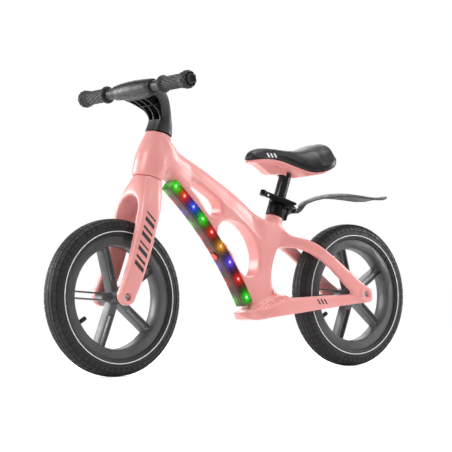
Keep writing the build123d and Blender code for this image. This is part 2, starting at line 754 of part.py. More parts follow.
def collar_bolts():
    """Two bolts through the collar's rear lug and the bracket."""
    with BuildPart() as bolts:
        for height in COLLAR_BOLTS:
            with BuildSketch(Plane(origin=SEAT.from_local_coords((-27.3, height, 0)), x_dir=(0, 1, 0),
                                   z_dir=SEAT.x_dir)):
                Circle(3.4)
            extrude(amount=-3)
            with BuildSketch(Plane(origin=SEAT.from_local_coords((-27.3, height, 0)), x_dir=(0, 1, 0),
                                   z_dir=SEAT.x_dir)):
                Circle(2.0)
            extrude(amount=11)
    return bolts


def seat_clamp():
    """Quick-release band round the seat post, split at the back between two lugs."""
    with BuildPart() as band:
        with BuildSketch(across(SEAT, CLAMP_BOTTOM)):
            Circle(COLLAR_R)
            with Locations((-19, 0)):
                Rectangle(15, 24)
            Circle(POST_R + 0.2, mode=Mode.SUBTRACT)
            with Locations((-20, 0)):
                Rectangle(26, 4, mode=Mode.SUBTRACT)
        extrude(amount=CLAMP_TOP - CLAMP_BOTTOM)
        with BuildSketch(Plane(origin=SEAT.from_local_coords((LEVER_U, DRAW_BOLT_T, 0)), x_dir=(1, 0, 0),
                               z_dir=(0, 1, 0))):
            Circle(2.6)
        extrude(amount=20, both=True, mode=Mode.SUBTRACT)
    return band


def clamp_skewer():
    """Draw bolt through the clamp lugs, with the lever's cam pin and the adjusting nut."""
    centre = SEAT.from_local_coords((LEVER_U, DRAW_BOLT_T, 0))
    with BuildPart() as skewer:
        with BuildSketch(Plane(origin=(centre.X, -18, centre.Z), x_dir=(1, 0, 0), z_dir=(0, 1, 0))):
            Circle(2.5)
        extrude(amount=18 + LEVER_Y)
        with BuildSketch(Plane(origin=(centre.X, -20, centre.Z), x_dir=(1, 0, 0), z_dir=(0, 1, 0))):
            Circle(6.0)
        extrude(amount=7.5)
        with BuildSketch(across(SEAT, 25.5, LEVER_U)):
            with Locations((0, LEVER_Y * CROSS_SIGN)):
                Circle(3.0)
        extrude(amount=12)
    return skewer


def quick_lever():
    """Cam lever that wraps round the clamp and ends in a paddle with a round hole."""
    with BuildPart() as lever:
        with BuildSketch(across(SEAT, 26.0, LEVER_U)):
            with Locations((0, LEVER_Y * CROSS_SIGN)):
                Circle(CAM_R)
            outline = [(0, 31), (20, 27), (36, 22), (54, 15), (70, 10), (70, 5.5), (54, 9.5), (36, 16.8),
                       (20, 21), (6, 21), (0, 24)]
            with BuildLine():
                Polyline(*[(u, y * CROSS_SIGN) for u, y in outline], close=True)
            make_face()
            with Locations((70, 8 * CROSS_SIGN)):
                Circle(6.3)
            with Locations((0, LEVER_Y * CROSS_SIGN)):
                Circle(3.05, mode=Mode.SUBTRACT)
        extrude(amount=11.0)
        # slot in the cam barrel that lets it swing round the draw bolt
        with BuildSketch(across(SEAT, DRAW_BOLT_T - 2.9, LEVER_U)):
            sweep = [(CAM_R * 1.7 * cos(radians(a)), LEVER_Y + CAM_R * 1.7 * sin(radians(a)))
                     for a in range(330, 30, -30)]
            with BuildLine():
                Polyline(*[(u, y * CROSS_SIGN) for u, y in [(0, LEVER_Y)] + sweep], close=True)
            make_face()
        extrude(amount=5.8, mode=Mode.SUBTRACT)
        tip = SEAT.from_local_coords((LEVER_U + 58, DRAW_BOLT_T, 0))
        with BuildSketch(Plane(origin=(tip.X, LEVER_Y - 20, tip.Z), x_dir=SEAT.x_dir, z_dir=(0, 1, 0))):
            Circle(3.2)
        extrude(amount=40, mode=Mode.SUBTRACT)
    return lever


def seat_post():
    """Steel post, plugged at the bottom."""
    return tube(SEAT, -98, 96, POST_R, POST_R - 1.6)


def post_plug():
    """Plastic plug in the lower end of the post."""
    with BuildPart() as plug:
        with BuildSketch(across(SEAT, -98)):
            Circle(POST_R - 1.6)
        extrude(amount=12)
    return plug


def saddle_plan(inset):
    """Plan outline of the saddle, drawn smaller by an inset."""
    with BuildSketch(Plane.XY) as plan:
        with BuildLine():
            Spline((-28 - inset, 0), (-40, 16 - inset), (-90, 24 - inset), (-140, 42 - inset),
                   (-180, 64 - inset), (-215, 66 - inset), (-236, 42 - inset), (-241 + inset, 0))
            Line((-241 + inset, 0), (-28 - inset, 0))
        make_face()
        mirror(about=Plane.XZ)
    return plan


SADDLE_SPLIT = [(-26, 424), (-60, 428), (-100, 426), (-135, 413), (-165, 402), (-190, 404), (-222, 418),
                (-245, 438)]


def saddle_pad():
    """Cushion: side outline cut to the saddle's plan outline."""
    plan = saddle_plan(0)
    with BuildPart() as pad:
        with BuildSketch(SIDE):
            with BuildLine():
                Spline(*SADDLE_SPLIT)
                Line((-245, 438), (-245, 452))
                Spline((-245, 452), (-228, 466), (-205, 463), (-165, 449), (-110, 448), (-55, 449),
                       (-26, 434))
                Line((-26, 434), (-26, 424))
            make_face()
        extrude(amount=70, both=True)
        add(extrude(plan.sketch, amount=600, mode=Mode.PRIVATE), mode=Mode.INTERSECT)
    return pad


def beside_keel():
    """Space under the shell's thin lip, on both sides of the keel."""
    with BuildPart() as space:
        with BuildSketch(SIDE):
            with BuildLine():
                Spline(*[(x, z - LIP) for x, z in SADDLE_SPLIT])
                Polyline((-245, 438 - LIP), (-245, 380), (-26, 380), (-26, 424 - LIP))
            make_face()
        extrude(amount=70, both=True)
        Box(500, 2 * KEEL_HALF, 1000, mode=Mode.SUBTRACT)
    return space


def saddle_base():
    """Stiff shell under the cushion with a keel round the head of the seat post."""
    plan = saddle_plan(2)
    with BuildPart() as base:
        with BuildSketch(SIDE):
            with BuildLine():
                Spline(*SADDLE_SPLIT)
                Line((-245, 438), (-240, 430))
                Spline((-240, 430), (-210, 406), (-175, 396), (-132, 391), (-88, 397), (-60, 414), (-26, 419))
                Line((-26, 419), (-26, 424))
            make_face()
        extrude(amount=70, both=True)
        add(extrude(plan.sketch, amount=600, mode=Mode.PRIVATE), mode=Mode.INTERSECT)
        add(beside_keel().part, mode=Mode.SUBTRACT)
        with BuildSketch(across(SEAT, 60)):
            Circle(POST_R)
        extrude(amount=36, mode=Mode.SUBTRACT)
    return base


# ================================================================== mudguard
def guard_bracket():
    """Plate bolted to the collar's lug, with two cheeks that carry the mudguard pivot."""
    with BuildPart() as arm:
        with BuildSketch(SEAT):
            with Locations((-25.65, 13)):
                Rectangle(3.1, 23)
        extrude(amount=CHEEK_OUT, both=True)
        with BuildSketch(SIDE):
            with BuildLine():
                Polyline((-132, 314), (-137.6, 328), (-140, 331), (-152, 331), (-152, 319), (-140, 318),
                         close=True)
            make_face()
            with Locations((GUARD_PIVOT_X, GUARD_PIVOT_Z)):
                Circle(6)
                Circle(2.05, mode=Mode.SUBTRACT)
        extrude(amount=CHEEK_OUT, both=True)
        with BuildSketch(SEAT):
            with Locations((-47.2, 20)):
                Rectangle(40, 60)
        extrude(amount=CHEEK_IN, both=True, mode=Mode.SUBTRACT)
        for height in COLLAR_BOLTS:
            with BuildSketch(Plane(origin=SEAT.from_local_coords((-30, height, 0)), x_dir=(0, 1, 0),
                                   z_dir=SEAT.x_dir)):
                Circle(2.05)
            extrude(amount=9, mode=Mode.SUBTRACT)
    return arm


def guard_pin():
    """Pivot bolt of the mudguard, with a head on each side."""
    rod = cross_rod(GUARD_PIVOT_X, GUARD_PIVOT_Z, -10, 10, 2.0)
    head = cross_rod(GUARD_PIVOT_X, GUARD_PIVOT_Z, CHEEK_OUT + 0.1, CHEEK_OUT + 3, 4.2)
    with BuildPart() as pin:
        add(rod.part)
        add(head.part)
        mirror(head.part, about=Plane.XZ)
    return pin


def mudguard():
    """Long thin arched blade with a forked root that pivots on the bracket."""
    with BuildPart() as blade:
        with BuildSketch(SIDE):
            with BuildLine():
                Spline((-168, 331), (-200, 350), (-245, 362), (-300, 364), (-360, 358), (-418, 361.5))
                Line((-418, 361.5), (-418, 359))
                Spline((-418, 359), (-360, 355), (-300, 361), (-245, 359), (-200, 347), (-170, 328))
                Line((-170, 328), (-168, 331))
            make_face()
        extrude(amount=GUARD_HALF, both=True)
        with BuildSketch(Plane.XY):
            with BuildLine():
                Spline((-164, 0), (-168, 8), (-200, 18), (-260, 31), (-340, GUARD_HALF), (-400, 24), (-418, 0))
                Line((-418, 0), (-164, 0))
            make_face()
            mirror(about=Plane.XZ)
        extrude(amount=500, mode=Mode.INTERSECT)
        with BuildSketch(SIDE):
            with BuildLine():
                Polyline((-152, 319.5), (-166, 321), (-178, 330), (-186, 338), (-186, 343), (-168, 331.5),
                         (-152, 330.5), close=True)
            make_face()
            with Locations((GUARD_PIVOT_X, GUARD_PIVOT_Z)):
                Circle(5.5)
                Circle(2.05, mode=Mode.SUBTRACT)
        extrude(amount=CHEEK_IN - 0.4, both=True)
    return blade


# ================================================================== write every piece
os.makedirs("parts", exist_ok=True)

save(frame(), "frame")
save(tube(STEER, HEAD_BOTTOM + 2, HEAD_BOTTOM + 9, HEADSET_R, STEERER_R + RUNNING), "lower_headset_bearing")
save(tube(STEER, HEAD_TOP - 9, HEAD_TOP - 2, HEADSET_R, STEERER_R + RUNNING), "upper_headset_bearing")
save(light_base(), "light_base")
save(light_cover(), "light_cover")
save(light_boards(), "light_boards")
save(light_leds(), "light_leds")
save(button_bezel(), "button_bezel")
save(light_button(), "light_button")
save(battery_cells(), "battery_cells")
save(light_screws(), "light_screws")

save(fork(), "fork")
save(tube(STEER, 208, 360, STEERER_R, STEERER_R - 2.2), "steerer_tube")
save(tube(STEER, CROWN_TOP, HEAD_BOTTOM + 1.7, 17, STEERER_R), "crown_race")
save(tube(STEER, HEAD_TOP - 1.7, HEAD_TOP + 0.7, 17, STEERER_R), "top_race")
save(stem(), "stem")
save(cross_rod(BAR_X, BAR_Z, -173, 173, BAR_R, BAR_R - 1.5), "handlebar")
for side, word in ((1, "left"), (-1, "right")):
    save(grip(side), f"grip_{word}")

for x, end, axle_half in ((FRONT_X, "front", FORK_OUT - 10), (REAR_X, "rear", REAR_OUT - 9)):
    save(rim(x), f"{end}_rim")
    save(tyre(x), f"{end}_tyre")
    save(inner_tube(x), f"{end}_inner_tube")
    save(stripes(x), f"{end}_reflective_lines")
    save(valve(x), f"{end}_valve")
    save(valve_cap(x), f"{end}_valve_cap")
    save(hub_bearings(x), f"{end}_hub_bearings")
    save(hub_spacer(x), f"{end}_hub_spacer")
    save(axle(x, axle_half), f"{end}_axle")
    save(axle_bolts(x, axle_half), f"{end}_axle_bolts")
    save(axle_spacers(x, FORK_IN if end == "front" else REAR_IN), f"{end}_axle_spacers")

save(seat_collar(), "seat_collar")
save(collar_bolts(), "collar_bolts")
save(seat_clamp(), "seat_clamp")
save(clamp_skewer(), "clamp_skewer")
save(quick_lever(), "quick_lever")
save(seat_post(), "seat_post")
save(post_plug(), "post_plug")
save(saddle_base(), "saddle_base")
save(saddle_pad(), "saddle_pad")
save(guard_bracket(), "guard_bracket")
save(guard_pin(), "guard_pin")
save(mudguard(), "mudguard")
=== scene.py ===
"""Child's balance bike: visible pieces, finishes and stage, laid out as an add-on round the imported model."""
from math import atan2, cos, degrees, exp, hypot, pi, radians, sin

import bmesh
import bpy
import numpy as np
from mathutils import Matrix, Vector


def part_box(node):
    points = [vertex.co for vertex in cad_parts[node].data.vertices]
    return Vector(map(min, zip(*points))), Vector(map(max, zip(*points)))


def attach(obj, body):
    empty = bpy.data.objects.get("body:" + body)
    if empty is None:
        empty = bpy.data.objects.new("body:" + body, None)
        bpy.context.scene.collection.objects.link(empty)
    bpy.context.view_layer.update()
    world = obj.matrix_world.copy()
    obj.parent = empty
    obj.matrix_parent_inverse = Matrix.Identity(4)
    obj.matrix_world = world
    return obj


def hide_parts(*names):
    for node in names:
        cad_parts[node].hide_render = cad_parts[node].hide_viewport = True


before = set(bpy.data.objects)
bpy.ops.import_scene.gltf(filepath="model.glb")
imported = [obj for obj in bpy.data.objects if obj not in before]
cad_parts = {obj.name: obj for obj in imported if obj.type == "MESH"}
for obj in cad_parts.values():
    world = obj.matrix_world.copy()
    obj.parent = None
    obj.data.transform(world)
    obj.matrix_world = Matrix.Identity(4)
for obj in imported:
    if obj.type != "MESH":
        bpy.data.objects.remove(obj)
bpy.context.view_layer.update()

bl_info = {
    "name": "Balance Bike",
    "version": (1, 0, 0),
    "blender": (4, 5, 0),
    "location": "View3D > Sidebar > Balance Bike",
    "description": "Builds the frame, treaded wheels, saddle, grips and light strip of a balance bike",
    "category": "Add Mesh",
}

MM = 0.001


# ------------------------------------------------------------------ places taken from the frame
def centre_of(node):
    """Middle of a node's box, in millimetres."""
    low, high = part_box(node)
    return (low + high) / (2 * MM)


FRONT_AXLE = centre_of("front_tyre")
REAR_AXLE = centre_of("rear_tyre")
TYRE_R = FRONT_AXLE.z
BAR = centre_of("handlebar")
BAR_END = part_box("grip_left")[1].y / MM
STEER_LEAN = 18.2
SEAT_LEAN = 20.7
STEER_FOOT = Vector((295.0, 0, TYRE_R))
SEAT_RIM = Vector((-102.5, 0, 312.0))
SEAT_BORE = 136.0
BORE_ROOM = 14.5      # everything nearer the seat tube's axis belongs to its bore
ARC_CENTRE = Vector((648.0, 0, -198.0))
ARC_BACK = 754.0
ARC_FRONT = ARC_BACK - 23.0


def leaning(origin, lean, along, up, side=0.0):
    """Point in a plane that leans back from vertical, with `side` towards the rider's left."""
    a = radians(lean)
    return Vector((origin.x + along * cos(a) - up * sin(a), side, origin.z + along * sin(a) + up * cos(a)))


def on_arc(radius, angle, side=0.0):
    """Point of the light strip by radius and degrees about the centre of its arc."""
    a = radians(angle)
    return Vector((ARC_CENTRE.x + radius * cos(a), side, ARC_CENTRE.z + radius * sin(a)))


# ------------------------------------------------------------------ settings a user would change
class BikeSizes(bpy.types.PropertyGroup):
    tread_rows: bpy.props.IntProperty(
        name="Tread rows", description="Rows of tread blocks round each tyre", default=68, min=24, max=120)
    tread_depth: bpy.props.FloatProperty(
        name="Tread depth", description="Height of a tread block", default=1.2 * MM, unit="LENGTH")
    tread_gap: bpy.props.FloatProperty(
        name="Tread gap", description="Width of the groove between two blocks", default=1.5 * MM,
        unit="LENGTH")
    skin: bpy.props.FloatProperty(
        name="Skin size", description="Size of one face of the moulded frame's skin", default=2.3 * MM,
        unit="LENGTH")
    edge: bpy.props.FloatProperty(
        name="Edge radius", description="Rounding of machined and pressed edges", default=0.4 * MM,
        unit="LENGTH")
    pad_pressure: bpy.props.FloatProperty(
        name="Pad pressure", description="Pressure that crowns the saddle pad", default=2.5)


class BikeColours(bpy.types.PropertyGroup):
    moulding: bpy.props.StringProperty(
        name="Moulding", description="Frame, fork and saddle shell", default="#EE9F9B")
    wheel: bpy.props.StringProperty(
        name="Wheel", description="Rim, spokes and hub", default="#4C4D4F")
    tyre: bpy.props.StringProperty(
        name="Tyre", description="Tread and side wall", default="#1A1A1B")
    stem: bpy.props.StringProperty(
        name="Stem", description="Stem and sleeve", default="#1F2021")
    saddle: bpy.props.StringProperty(
        name="Saddle", description="Skin of the pad", default="#151516")


def sizes():
    return bpy.context.scene.bike_sizes


def colours():
    return bpy.context.scene.bike_colours


# ------------------------------------------------------------------ materials
def linear(code):
    """An sRGB hex colour as linear RGBA."""
    parts = [int(code[i:i + 2], 16) / 255 for i in (1, 3, 5)]
    return tuple(p / 12.92 if p <= 0.04045 else ((p + 0.055) / 1.055) ** 2.4 for p in parts) + (1.0,)


def add(tree, kind, settings=None, inputs=None):
    """Add a node with its settings; an input that is a socket is linked, any other is its value."""
    made = tree.nodes.new(kind)
    for key, value in (settings or {}).items():
        setattr(made, key, value)
    for key, value in (inputs or {}).items():
        if isinstance(value, bpy.types.NodeSocket):
            tree.links.new(value, made.inputs[key])
        else:
            made.inputs[key].default_value = value
    return made


def plain(name, colour, roughness, **more):
    """Principled material with its values set on the sockets. Returns material, tree and shader."""
    material = bpy.data.materials.new(name)
    material.use_nodes = True
    tree = material.node_tree
    shader = tree.nodes["Principled BSDF"]
    shader.inputs["Base Color"].default_value = linear(colour)
    shader.inputs["Roughness"].default_value = roughness
    for key, value in more.items():
        shader.inputs[key.replace("_", " ")].default_value = value
    return material, tree, shader


def place(tree):
    """Object coordinates."""
    return add(tree, "ShaderNodeTexCoord").outputs["Object"]


def speckle(tree, size, detail=2.0, rough=0.5, stretch=(1, 1, 1)):
    """Noise whose features are `size` millimetres across."""
    where = add(tree, "ShaderNodeMapping", inputs={"Vector": place(tree), "Scale": stretch})
    return add(tree, "ShaderNodeTexNoise", inputs={
        "Vector": where.outputs["Vector"], "Scale": 1 / (size * MM), "Detail": detail, "Roughness": rough,
    }).outputs["Fac"]


def tone(tree, shader, dark, light, size):
    """Colour that wanders slowly between two near tones."""
    ramp = add(tree, "ShaderNodeMapRange", inputs={"Value": speckle(tree, size), "From Min": 0.3,
                                                   "From Max": 0.7})
    mix = add(tree, "ShaderNodeMix", {"data_type": "RGBA"}, {
        0: ramp.outputs["Result"], 6: linear(dark), 7: linear(light)})
    tree.links.new(mix.outputs[2], shader.inputs["Base Color"])
    return mix.outputs[2]


def dullness(tree, shader, low, high, size):
    """Roughness that varies with handling and moulding flow."""
    ramp = add(tree, "ShaderNodeMapRange", inputs={
        "Value": speckle(tree, size, 3.0), "From Min": 0.3, "From Max": 0.7, "To Min": low, "To Max": high})
    tree.links.new(ramp.outputs["Result"], shader.inputs["Roughness"])


def relief(tree, shader, height, depth, strength=1.0):
    """Bump of `depth` millimetres from a height between 0 and 1."""
    bump = add(tree, "ShaderNodeBump", inputs={
        "Height": height, "Distance": depth * MM, "Strength": strength})
    tree.links.new(bump.outputs["Normal"], shader.inputs["Normal"])


def pink_nylon():
    """Glass-filled nylon, injection moulded in a polished tool: even pink with a soft satin gloss and a
    faint flow ripple."""
    material, tree, shader = plain("moulded_pink_nylon", colours().moulding, 0.34, IOR=1.5,
                                   Coat_Weight=0.25, Coat_Roughness=0.22, Subsurface_Weight=0.06,
                                   Subsurface_Scale=3 * MM, Sheen_Weight=0.5, Sheen_Roughness=0.3)
    tone(tree, shader, "#EC9995", "#F0A4A0", 90)
    dullness(tree, shader, 0.3, 0.42, 40)
    # flow ripple is drawn at 6 mm, coarser than real, so that it shows
    relief(tree, shader, speckle(tree, 6, 1.0), 0.02, 0.5)
    return material


def textured_black(name, colour, roughness, grain=0.8):
    """Nylon moulded in a spark-eroded tool: matt dark grey with an even fine grain."""
    material, tree, shader = plain(name, colour, roughness, IOR=1.5)
    dullness(tree, shader, roughness - 0.05, roughness + 0.08, 15)
    relief(tree, shader, speckle(tree, grain, 2.0), 0.008, 0.25)
    return material


def wheel_nylon():
    """Nylon wheel moulded in a blasted tool: satin mid grey, a little lighter where worn."""
    material, tree, shader = plain("moulded_grey_nylon", colours().wheel, 0.4, IOR=1.5)
    tone(tree, shader, "#444547", "#545557", 45)
    dullness(tree, shader, 0.34, 0.46, 20)
    relief(tree, shader, speckle(tree, 0.9, 2.0), 0.01, 0.3)
    return material


def tyre_rubber(name, axle):
    """Carbon-black rubber cured in a steel mould: matt, with fine radial knurling by the bead."""
    material, tree, shader = plain(name, colours().tyre, 0.62, IOR=1.52)
    tone(tree, shader, "#161617", "#1F1F20", 12)
    dullness(tree, shader, 0.55, 0.72, 9)
    centred = add(tree, "ShaderNodeMapping", {"vector_type": "POINT"}, {
        "Vector": place(tree), "Location": (-axle.x * MM, 0, -axle.z * MM)})
    xyz = add(tree, "ShaderNodeSeparateXYZ", inputs={"Vector": centred.outputs["Vector"]})
    turn = add(tree, "ShaderNodeMath", {"operation": "ARCTAN2"}, {
        0: xyz.outputs["Z"], 1: xyz.outputs["X"]})
    flat = add(tree, "ShaderNodeCombineXYZ", inputs={"X": xyz.outputs["X"], "Z": xyz.outputs["Z"]})
    radius = add(tree, "ShaderNodeVectorMath", {"operation": "LENGTH"}, {0: flat.outputs["Vector"]})
    # 240 knurls: about 3 mm apart at the bead
    wave = add(tree, "ShaderNodeMath", {"operation": "SINE"}, {
        0: add(tree, "ShaderNodeMath", {"operation": "MULTIPLY"}, {0: turn.outputs[0], 1: 240.0}).outputs[0]})
    inside = add(tree, "ShaderNodeMapRange", inputs={
        "Value": radius.outputs["Value"], "From Min": 0.1235, "From Max": 0.1228})
    outside = add(tree, "ShaderNodeMapRange", inputs={
        "Value": radius.outputs["Value"], "From Min": 0.1172, "From Max": 0.1179})
    band = add(tree, "ShaderNodeMath", {"operation": "MULTIPLY"}, {
        0: inside.outputs["Result"], 1: outside.outputs["Result"]})
    knurl = add(tree, "ShaderNodeMath", {"operation": "MULTIPLY"}, {0: wave.outputs[0], 1: band.outputs[0]})
    height = add(tree, "ShaderNodeMath", {"operation": "MULTIPLY_ADD"}, {
        0: speckle(tree, 1.0, 3.0), 1: 0.5, 2: knurl.outputs[0]})
    relief(tree, shader, height.outputs[0], 0.12)
    return material


def soft_rubber():
    """Thermoplastic rubber moulded over a core: deep grey, slightly greasy sheen."""
    material, tree, shader = plain("moulded_grip_rubber", "#1B1C1D", 0.5, IOR=1.5, Sheen_Weight=0.08,
                                   Sheen_Roughness=0.5)
    tone(tree, shader, "#161718", "#212223", 8)
    dullness(tree, shader, 0.56, 0.68, 6)
    relief(tree, shader, speckle(tree, 0.7, 2.0), 0.006, 0.25)
    return material


def foam_skin():
    """Self-skinned polyurethane foam: near black, soft gloss over a fine leather grain."""
    material, tree, shader = plain("self_skinned_foam", colours().saddle, 0.42, IOR=1.5, Sheen_Weight=0.05,
                                   Sheen_Roughness=0.4)
    tone(tree, shader, "#121213", "#1A1A1B", 20)
    dullness(tree, shader, 0.36, 0.5, 14)
    # leather grain cells 1.2 mm across
    cells = add(tree, "ShaderNodeTexVoronoi", {"feature": "DISTANCE_TO_EDGE"}, {
        "Vector": place(tree), "Scale": 1 / (1.2 * MM)})
    edge = add(tree, "ShaderNodeMapRange", inputs={"Value": cells.outputs["Distance"], "From Max": 0.25})
    relief(tree, shader, edge.outputs["Result"], 0.03, 0.25)
    return material


def painted_black():
    """Steel tube, powder coated semi-gloss black: faint orange peel under a clean highlight."""
    material, tree, shader = plain("powder_coated_steel", "#121213", 0.24, IOR=1.5, Coat_Weight=0.3,
                                   Coat_Roughness=0.12)
    dullness(tree, shader, 0.22, 0.34, 25)
    relief(tree, shader, speckle(tree, 1.5, 1.0), 0.006, 0.25)
    return material


def anodised_black():
    """Aluminium turned and black anodised: dark metal with fine turning marks."""
    material, tree, shader = plain("anodised_aluminium", "#1B1B1C", 0.32, Metallic=0.75)
    dullness(tree, shader, 0.3, 0.44, 8)
    relief(tree, shader, speckle(tree, 0.5, 2.0, stretch=(0.2, 0.2, 3.0)), 0.01, 0.2)
    return material


def metal(name, colour, roughness):
    """Bare or plated metal: bright, with fine directional scratches."""
    material, tree, shader = plain(name, colour, roughness, Metallic=1.0)
    dullness(tree, shader, roughness * 0.8, roughness * 1.3, 4)
    relief(tree, shader, speckle(tree, 0.4, 3.0, stretch=(1, 6, 1)), 0.01)
    return material


def printed_film():
    """Reflective print: pale satin ink with glass beads that leave it slightly sparkling."""
    material, tree, shader = plain("glass_bead_print", "#EEEFF0", 0.35, Coat_Weight=0.2)
    tone(tree, shader, "#E2E4E6", "#FAFAFA", 1.5)
    relief(tree, shader, speckle(tree, 0.5), 0.02)
    return material


def printed_ink(name, colour):
    """Pad-printed ink: an even, slightly dull layer."""
    material, tree, shader = plain(name, colour, 0.45)
    dullness(tree, shader, 0.4, 0.52, 5)
    return material


def button_plastic():
    """ABS, moulded glossy and coloured right through."""
    material, tree, shader = plain("moulded_red_abs", "#E8453C", 0.25, IOR=1.53, Coat_Weight=0.2)
    tone(tree, shader, "#E23F37", "#F05046", 5)
    relief(tree, shader, speckle(tree, 1.2), 0.02)
    return material


def solder_mask():
    """Glass-epoxy board under black solder mask: dark with a faint weave."""
    material, tree, shader = plain("circuit_board", "#16211B", 0.35, IOR=1.55)
    weave = add(tree, "ShaderNodeTexWave", {"bands_direction": "DIAGONAL"}, {
        "Vector": place(tree), "Scale": 400.0})
    relief(tree, shader, weave.outputs["Fac"], 0.02)
    return material


def smoked_cover():
    """Polycarbonate, smoked and moulded clear: dark brown film, with the light of the lamps painted onto it as
    glow.
    """
    material, tree, shader = plain("smoked_polycarbonate", "#0C0605", 0.2, IOR=1.45, Alpha=0.97,
                                   Coat_Weight=0.05, Coat_Roughness=0.05)
    # painted light: the point colour glow holds the lamps' light painted onto the cover; it is shown as
    # emission, varied by 4 mm noise
    glow = add(tree, "ShaderNodeAttribute", {"attribute_name": "glow"})
    painted_glow_noise = speckle(tree, 4, 2.0)
    shade = add(tree, "ShaderNodeMapRange", inputs={"Value": painted_glow_noise, "From Min": 0.35, "From Max": 0.6,
                                                    "To Min": 0.55, "To Max": 1.0})
    lit = add(tree, "ShaderNodeVectorMath", {"operation": "SCALE"}, {
        0: glow.outputs["Color"], "Scale": shade.outputs["Result"]})
    tree.links.new(lit.outputs["Vector"], shader.inputs["Emission Color"])
    shader.inputs["Emission Strength"].default_value = 1.0
    relief(tree, shader, speckle(tree, 3, 1.0), 0.01)
    return material


def lit_lens():
    """Epoxy lens of a lit diode: near-white core in the light's own colour."""
    material, tree, shader = plain("epoxy_lens", "#F2F2F2", 0.2, IOR=1.55)
    glow = add(tree, "ShaderNodeAttribute", {"attribute_name": "glow"})
    core = add(tree, "ShaderNodeMapRange", inputs={
        "Value": speckle(tree, 2.0), "To Min": 0.9, "To Max": 1.1})
    lit = add(tree, "ShaderNodeVectorMath", {"operation": "SCALE"}, {
        0: glow.outputs["Color"], "Scale": core.outputs["Result"]})
    tree.links.new(lit.outputs["Vector"], shader.inputs["Emission Color"])
    shader.inputs["Emission Strength"].default_value = 5.0
    return material


FINISHES = {}


def finish(name):
    """A named finish, made once."""
    makers = {
        "pink": pink_nylon,
        "black": lambda: textured_black("spark_textured_nylon", "#161617", 0.42),
        "stem": lambda: textured_black("satin_stem_nylon", colours().stem, 0.44, 1.2),
        "blade": lambda: textured_black("satin_blade_nylon", "#202122", 0.44, 1.5),
        "wheel": wheel_nylon,
        "front_rubber": lambda: tyre_rubber("cured_rubber_front", FRONT_AXLE),
        "rear_rubber": lambda: tyre_rubber("cured_rubber_rear", REAR_AXLE),
        "butyl": lambda: textured_black("butyl_rubber", "#1D1D1E", 0.6, 2.0),
        "grip": soft_rubber,
        "foam": foam_skin,
        "painted": painted_black,
        "anodised": anodised_black,
        "steel": lambda: metal("ground_bearing_steel", "#B8BABD", 0.22),
        "zinc": lambda: metal("zinc_plated_steel", "#C9CBCC", 0.28),
        "film": printed_film,
        "ink_dark": lambda: printed_ink("charcoal_ink", "#2C2B2D"),
        "ink_pale": lambda: printed_ink("pale_ink", "#E6E6E6"),
        "button": button_plastic,
        "board": solder_mask,
        "cover": smoked_cover,
        "lens": lit_lens,
    }
    if name not in FINISHES:
        FINISHES[name] = makers[name]()
    return FINISHES[name]


# ------------------------------------------------------------------ making pieces
def cad_copy(node):
    """Merged bmesh copy of a CAD node, in millimetres."""
    bm = bmesh.new()
    bm.from_mesh(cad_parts[node].data)
    bmesh.ops.scale(bm, vec=(1 / MM,) * 3, verts=bm.verts)
    bmesh.ops.remove_doubles(bm, verts=bm.verts, dist=0.002)
    return bm


def link(name, bm):
    """Object at the origin from a bmesh in millimetres."""
    bmesh.ops.scale(bm, vec=(MM,) * 3, verts=bm.verts)
    mesh = bpy.data.meshes.new(name)
    bm.to_mesh(mesh)
    bm.free()
    piece = bpy.data.objects.new(name, mesh)
    bpy.context.scene.collection.objects.link(piece)
    return piece


def dress(piece, body, look, nodes=(), angle=35):
    """Shade a piece, give it its finish and tie it to its body."""
    mesh = piece.data
    mesh.shade_smooth()
    mesh.set_sharp_from_angle(angle=radians(angle))
    mesh.materials.clear()
    mesh.materials.append(finish(look))
    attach(piece, body)
    if nodes:
        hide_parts(*nodes)
    return piece


def bake(piece):
    """Apply a piece's modifiers."""
    shape = piece.evaluated_get(bpy.context.evaluated_depsgraph_get())
    mesh = bpy.data.meshes.new_from_object(shape)
    piece.modifiers.clear()
    old = piece.data
    piece.data = mesh
    bpy.data.meshes.remove(old)
    mesh.name = piece.name


def skinned_copy(node, name, voxel):
    """CAD node's copy with an even skin that can be smoothed."""
    piece = link(name, cad_copy(node))
    skin = piece.modifiers.new("skin", "REMESH")
    skin.mode = "VOXEL"
    skin.voxel_size = voxel
    bake(piece)
    return piece


def smoothed(piece, rounds, weight):
    """Smooth the points for which weight(point in mm) exceeds a share of the rounds."""
    bm = bmesh.new()
    bm.from_mesh(piece.data)
    shares = [(v, weight(v.co / MM)) for v in bm.verts]
    for turn in range(rounds):
        chosen = [v for v, share in shares if share * rounds > turn]
        if chosen:
            bmesh.ops.smooth_vert(bm, verts=chosen, factor=0.5, use_axis_x=True, use_axis_y=True,
                                  use_axis_z=True)
    bm.to_mesh(piece.data)
    bm.free()


def softened(node, body, look, width=None, angle=40):
    """CAD node's copy with its edges rounded, standing for the node."""
    bm = cad_copy(node)
    bmesh.ops.dissolve_limit(bm, angle_limit=radians(1.0), verts=bm.verts, edges=bm.edges)
    piece = link(node + "_finished", bm)
    rounding = piece.modifiers.new("rounding", "BEVEL")
    rounding.width = width or sizes().edge
    rounding.segments = 2
    rounding.limit_method = "ANGLE"
    rounding.angle_limit = radians(angle)
    rounding.harden_normals = False
    bake(piece)
    return dress(piece, body, look, [node])


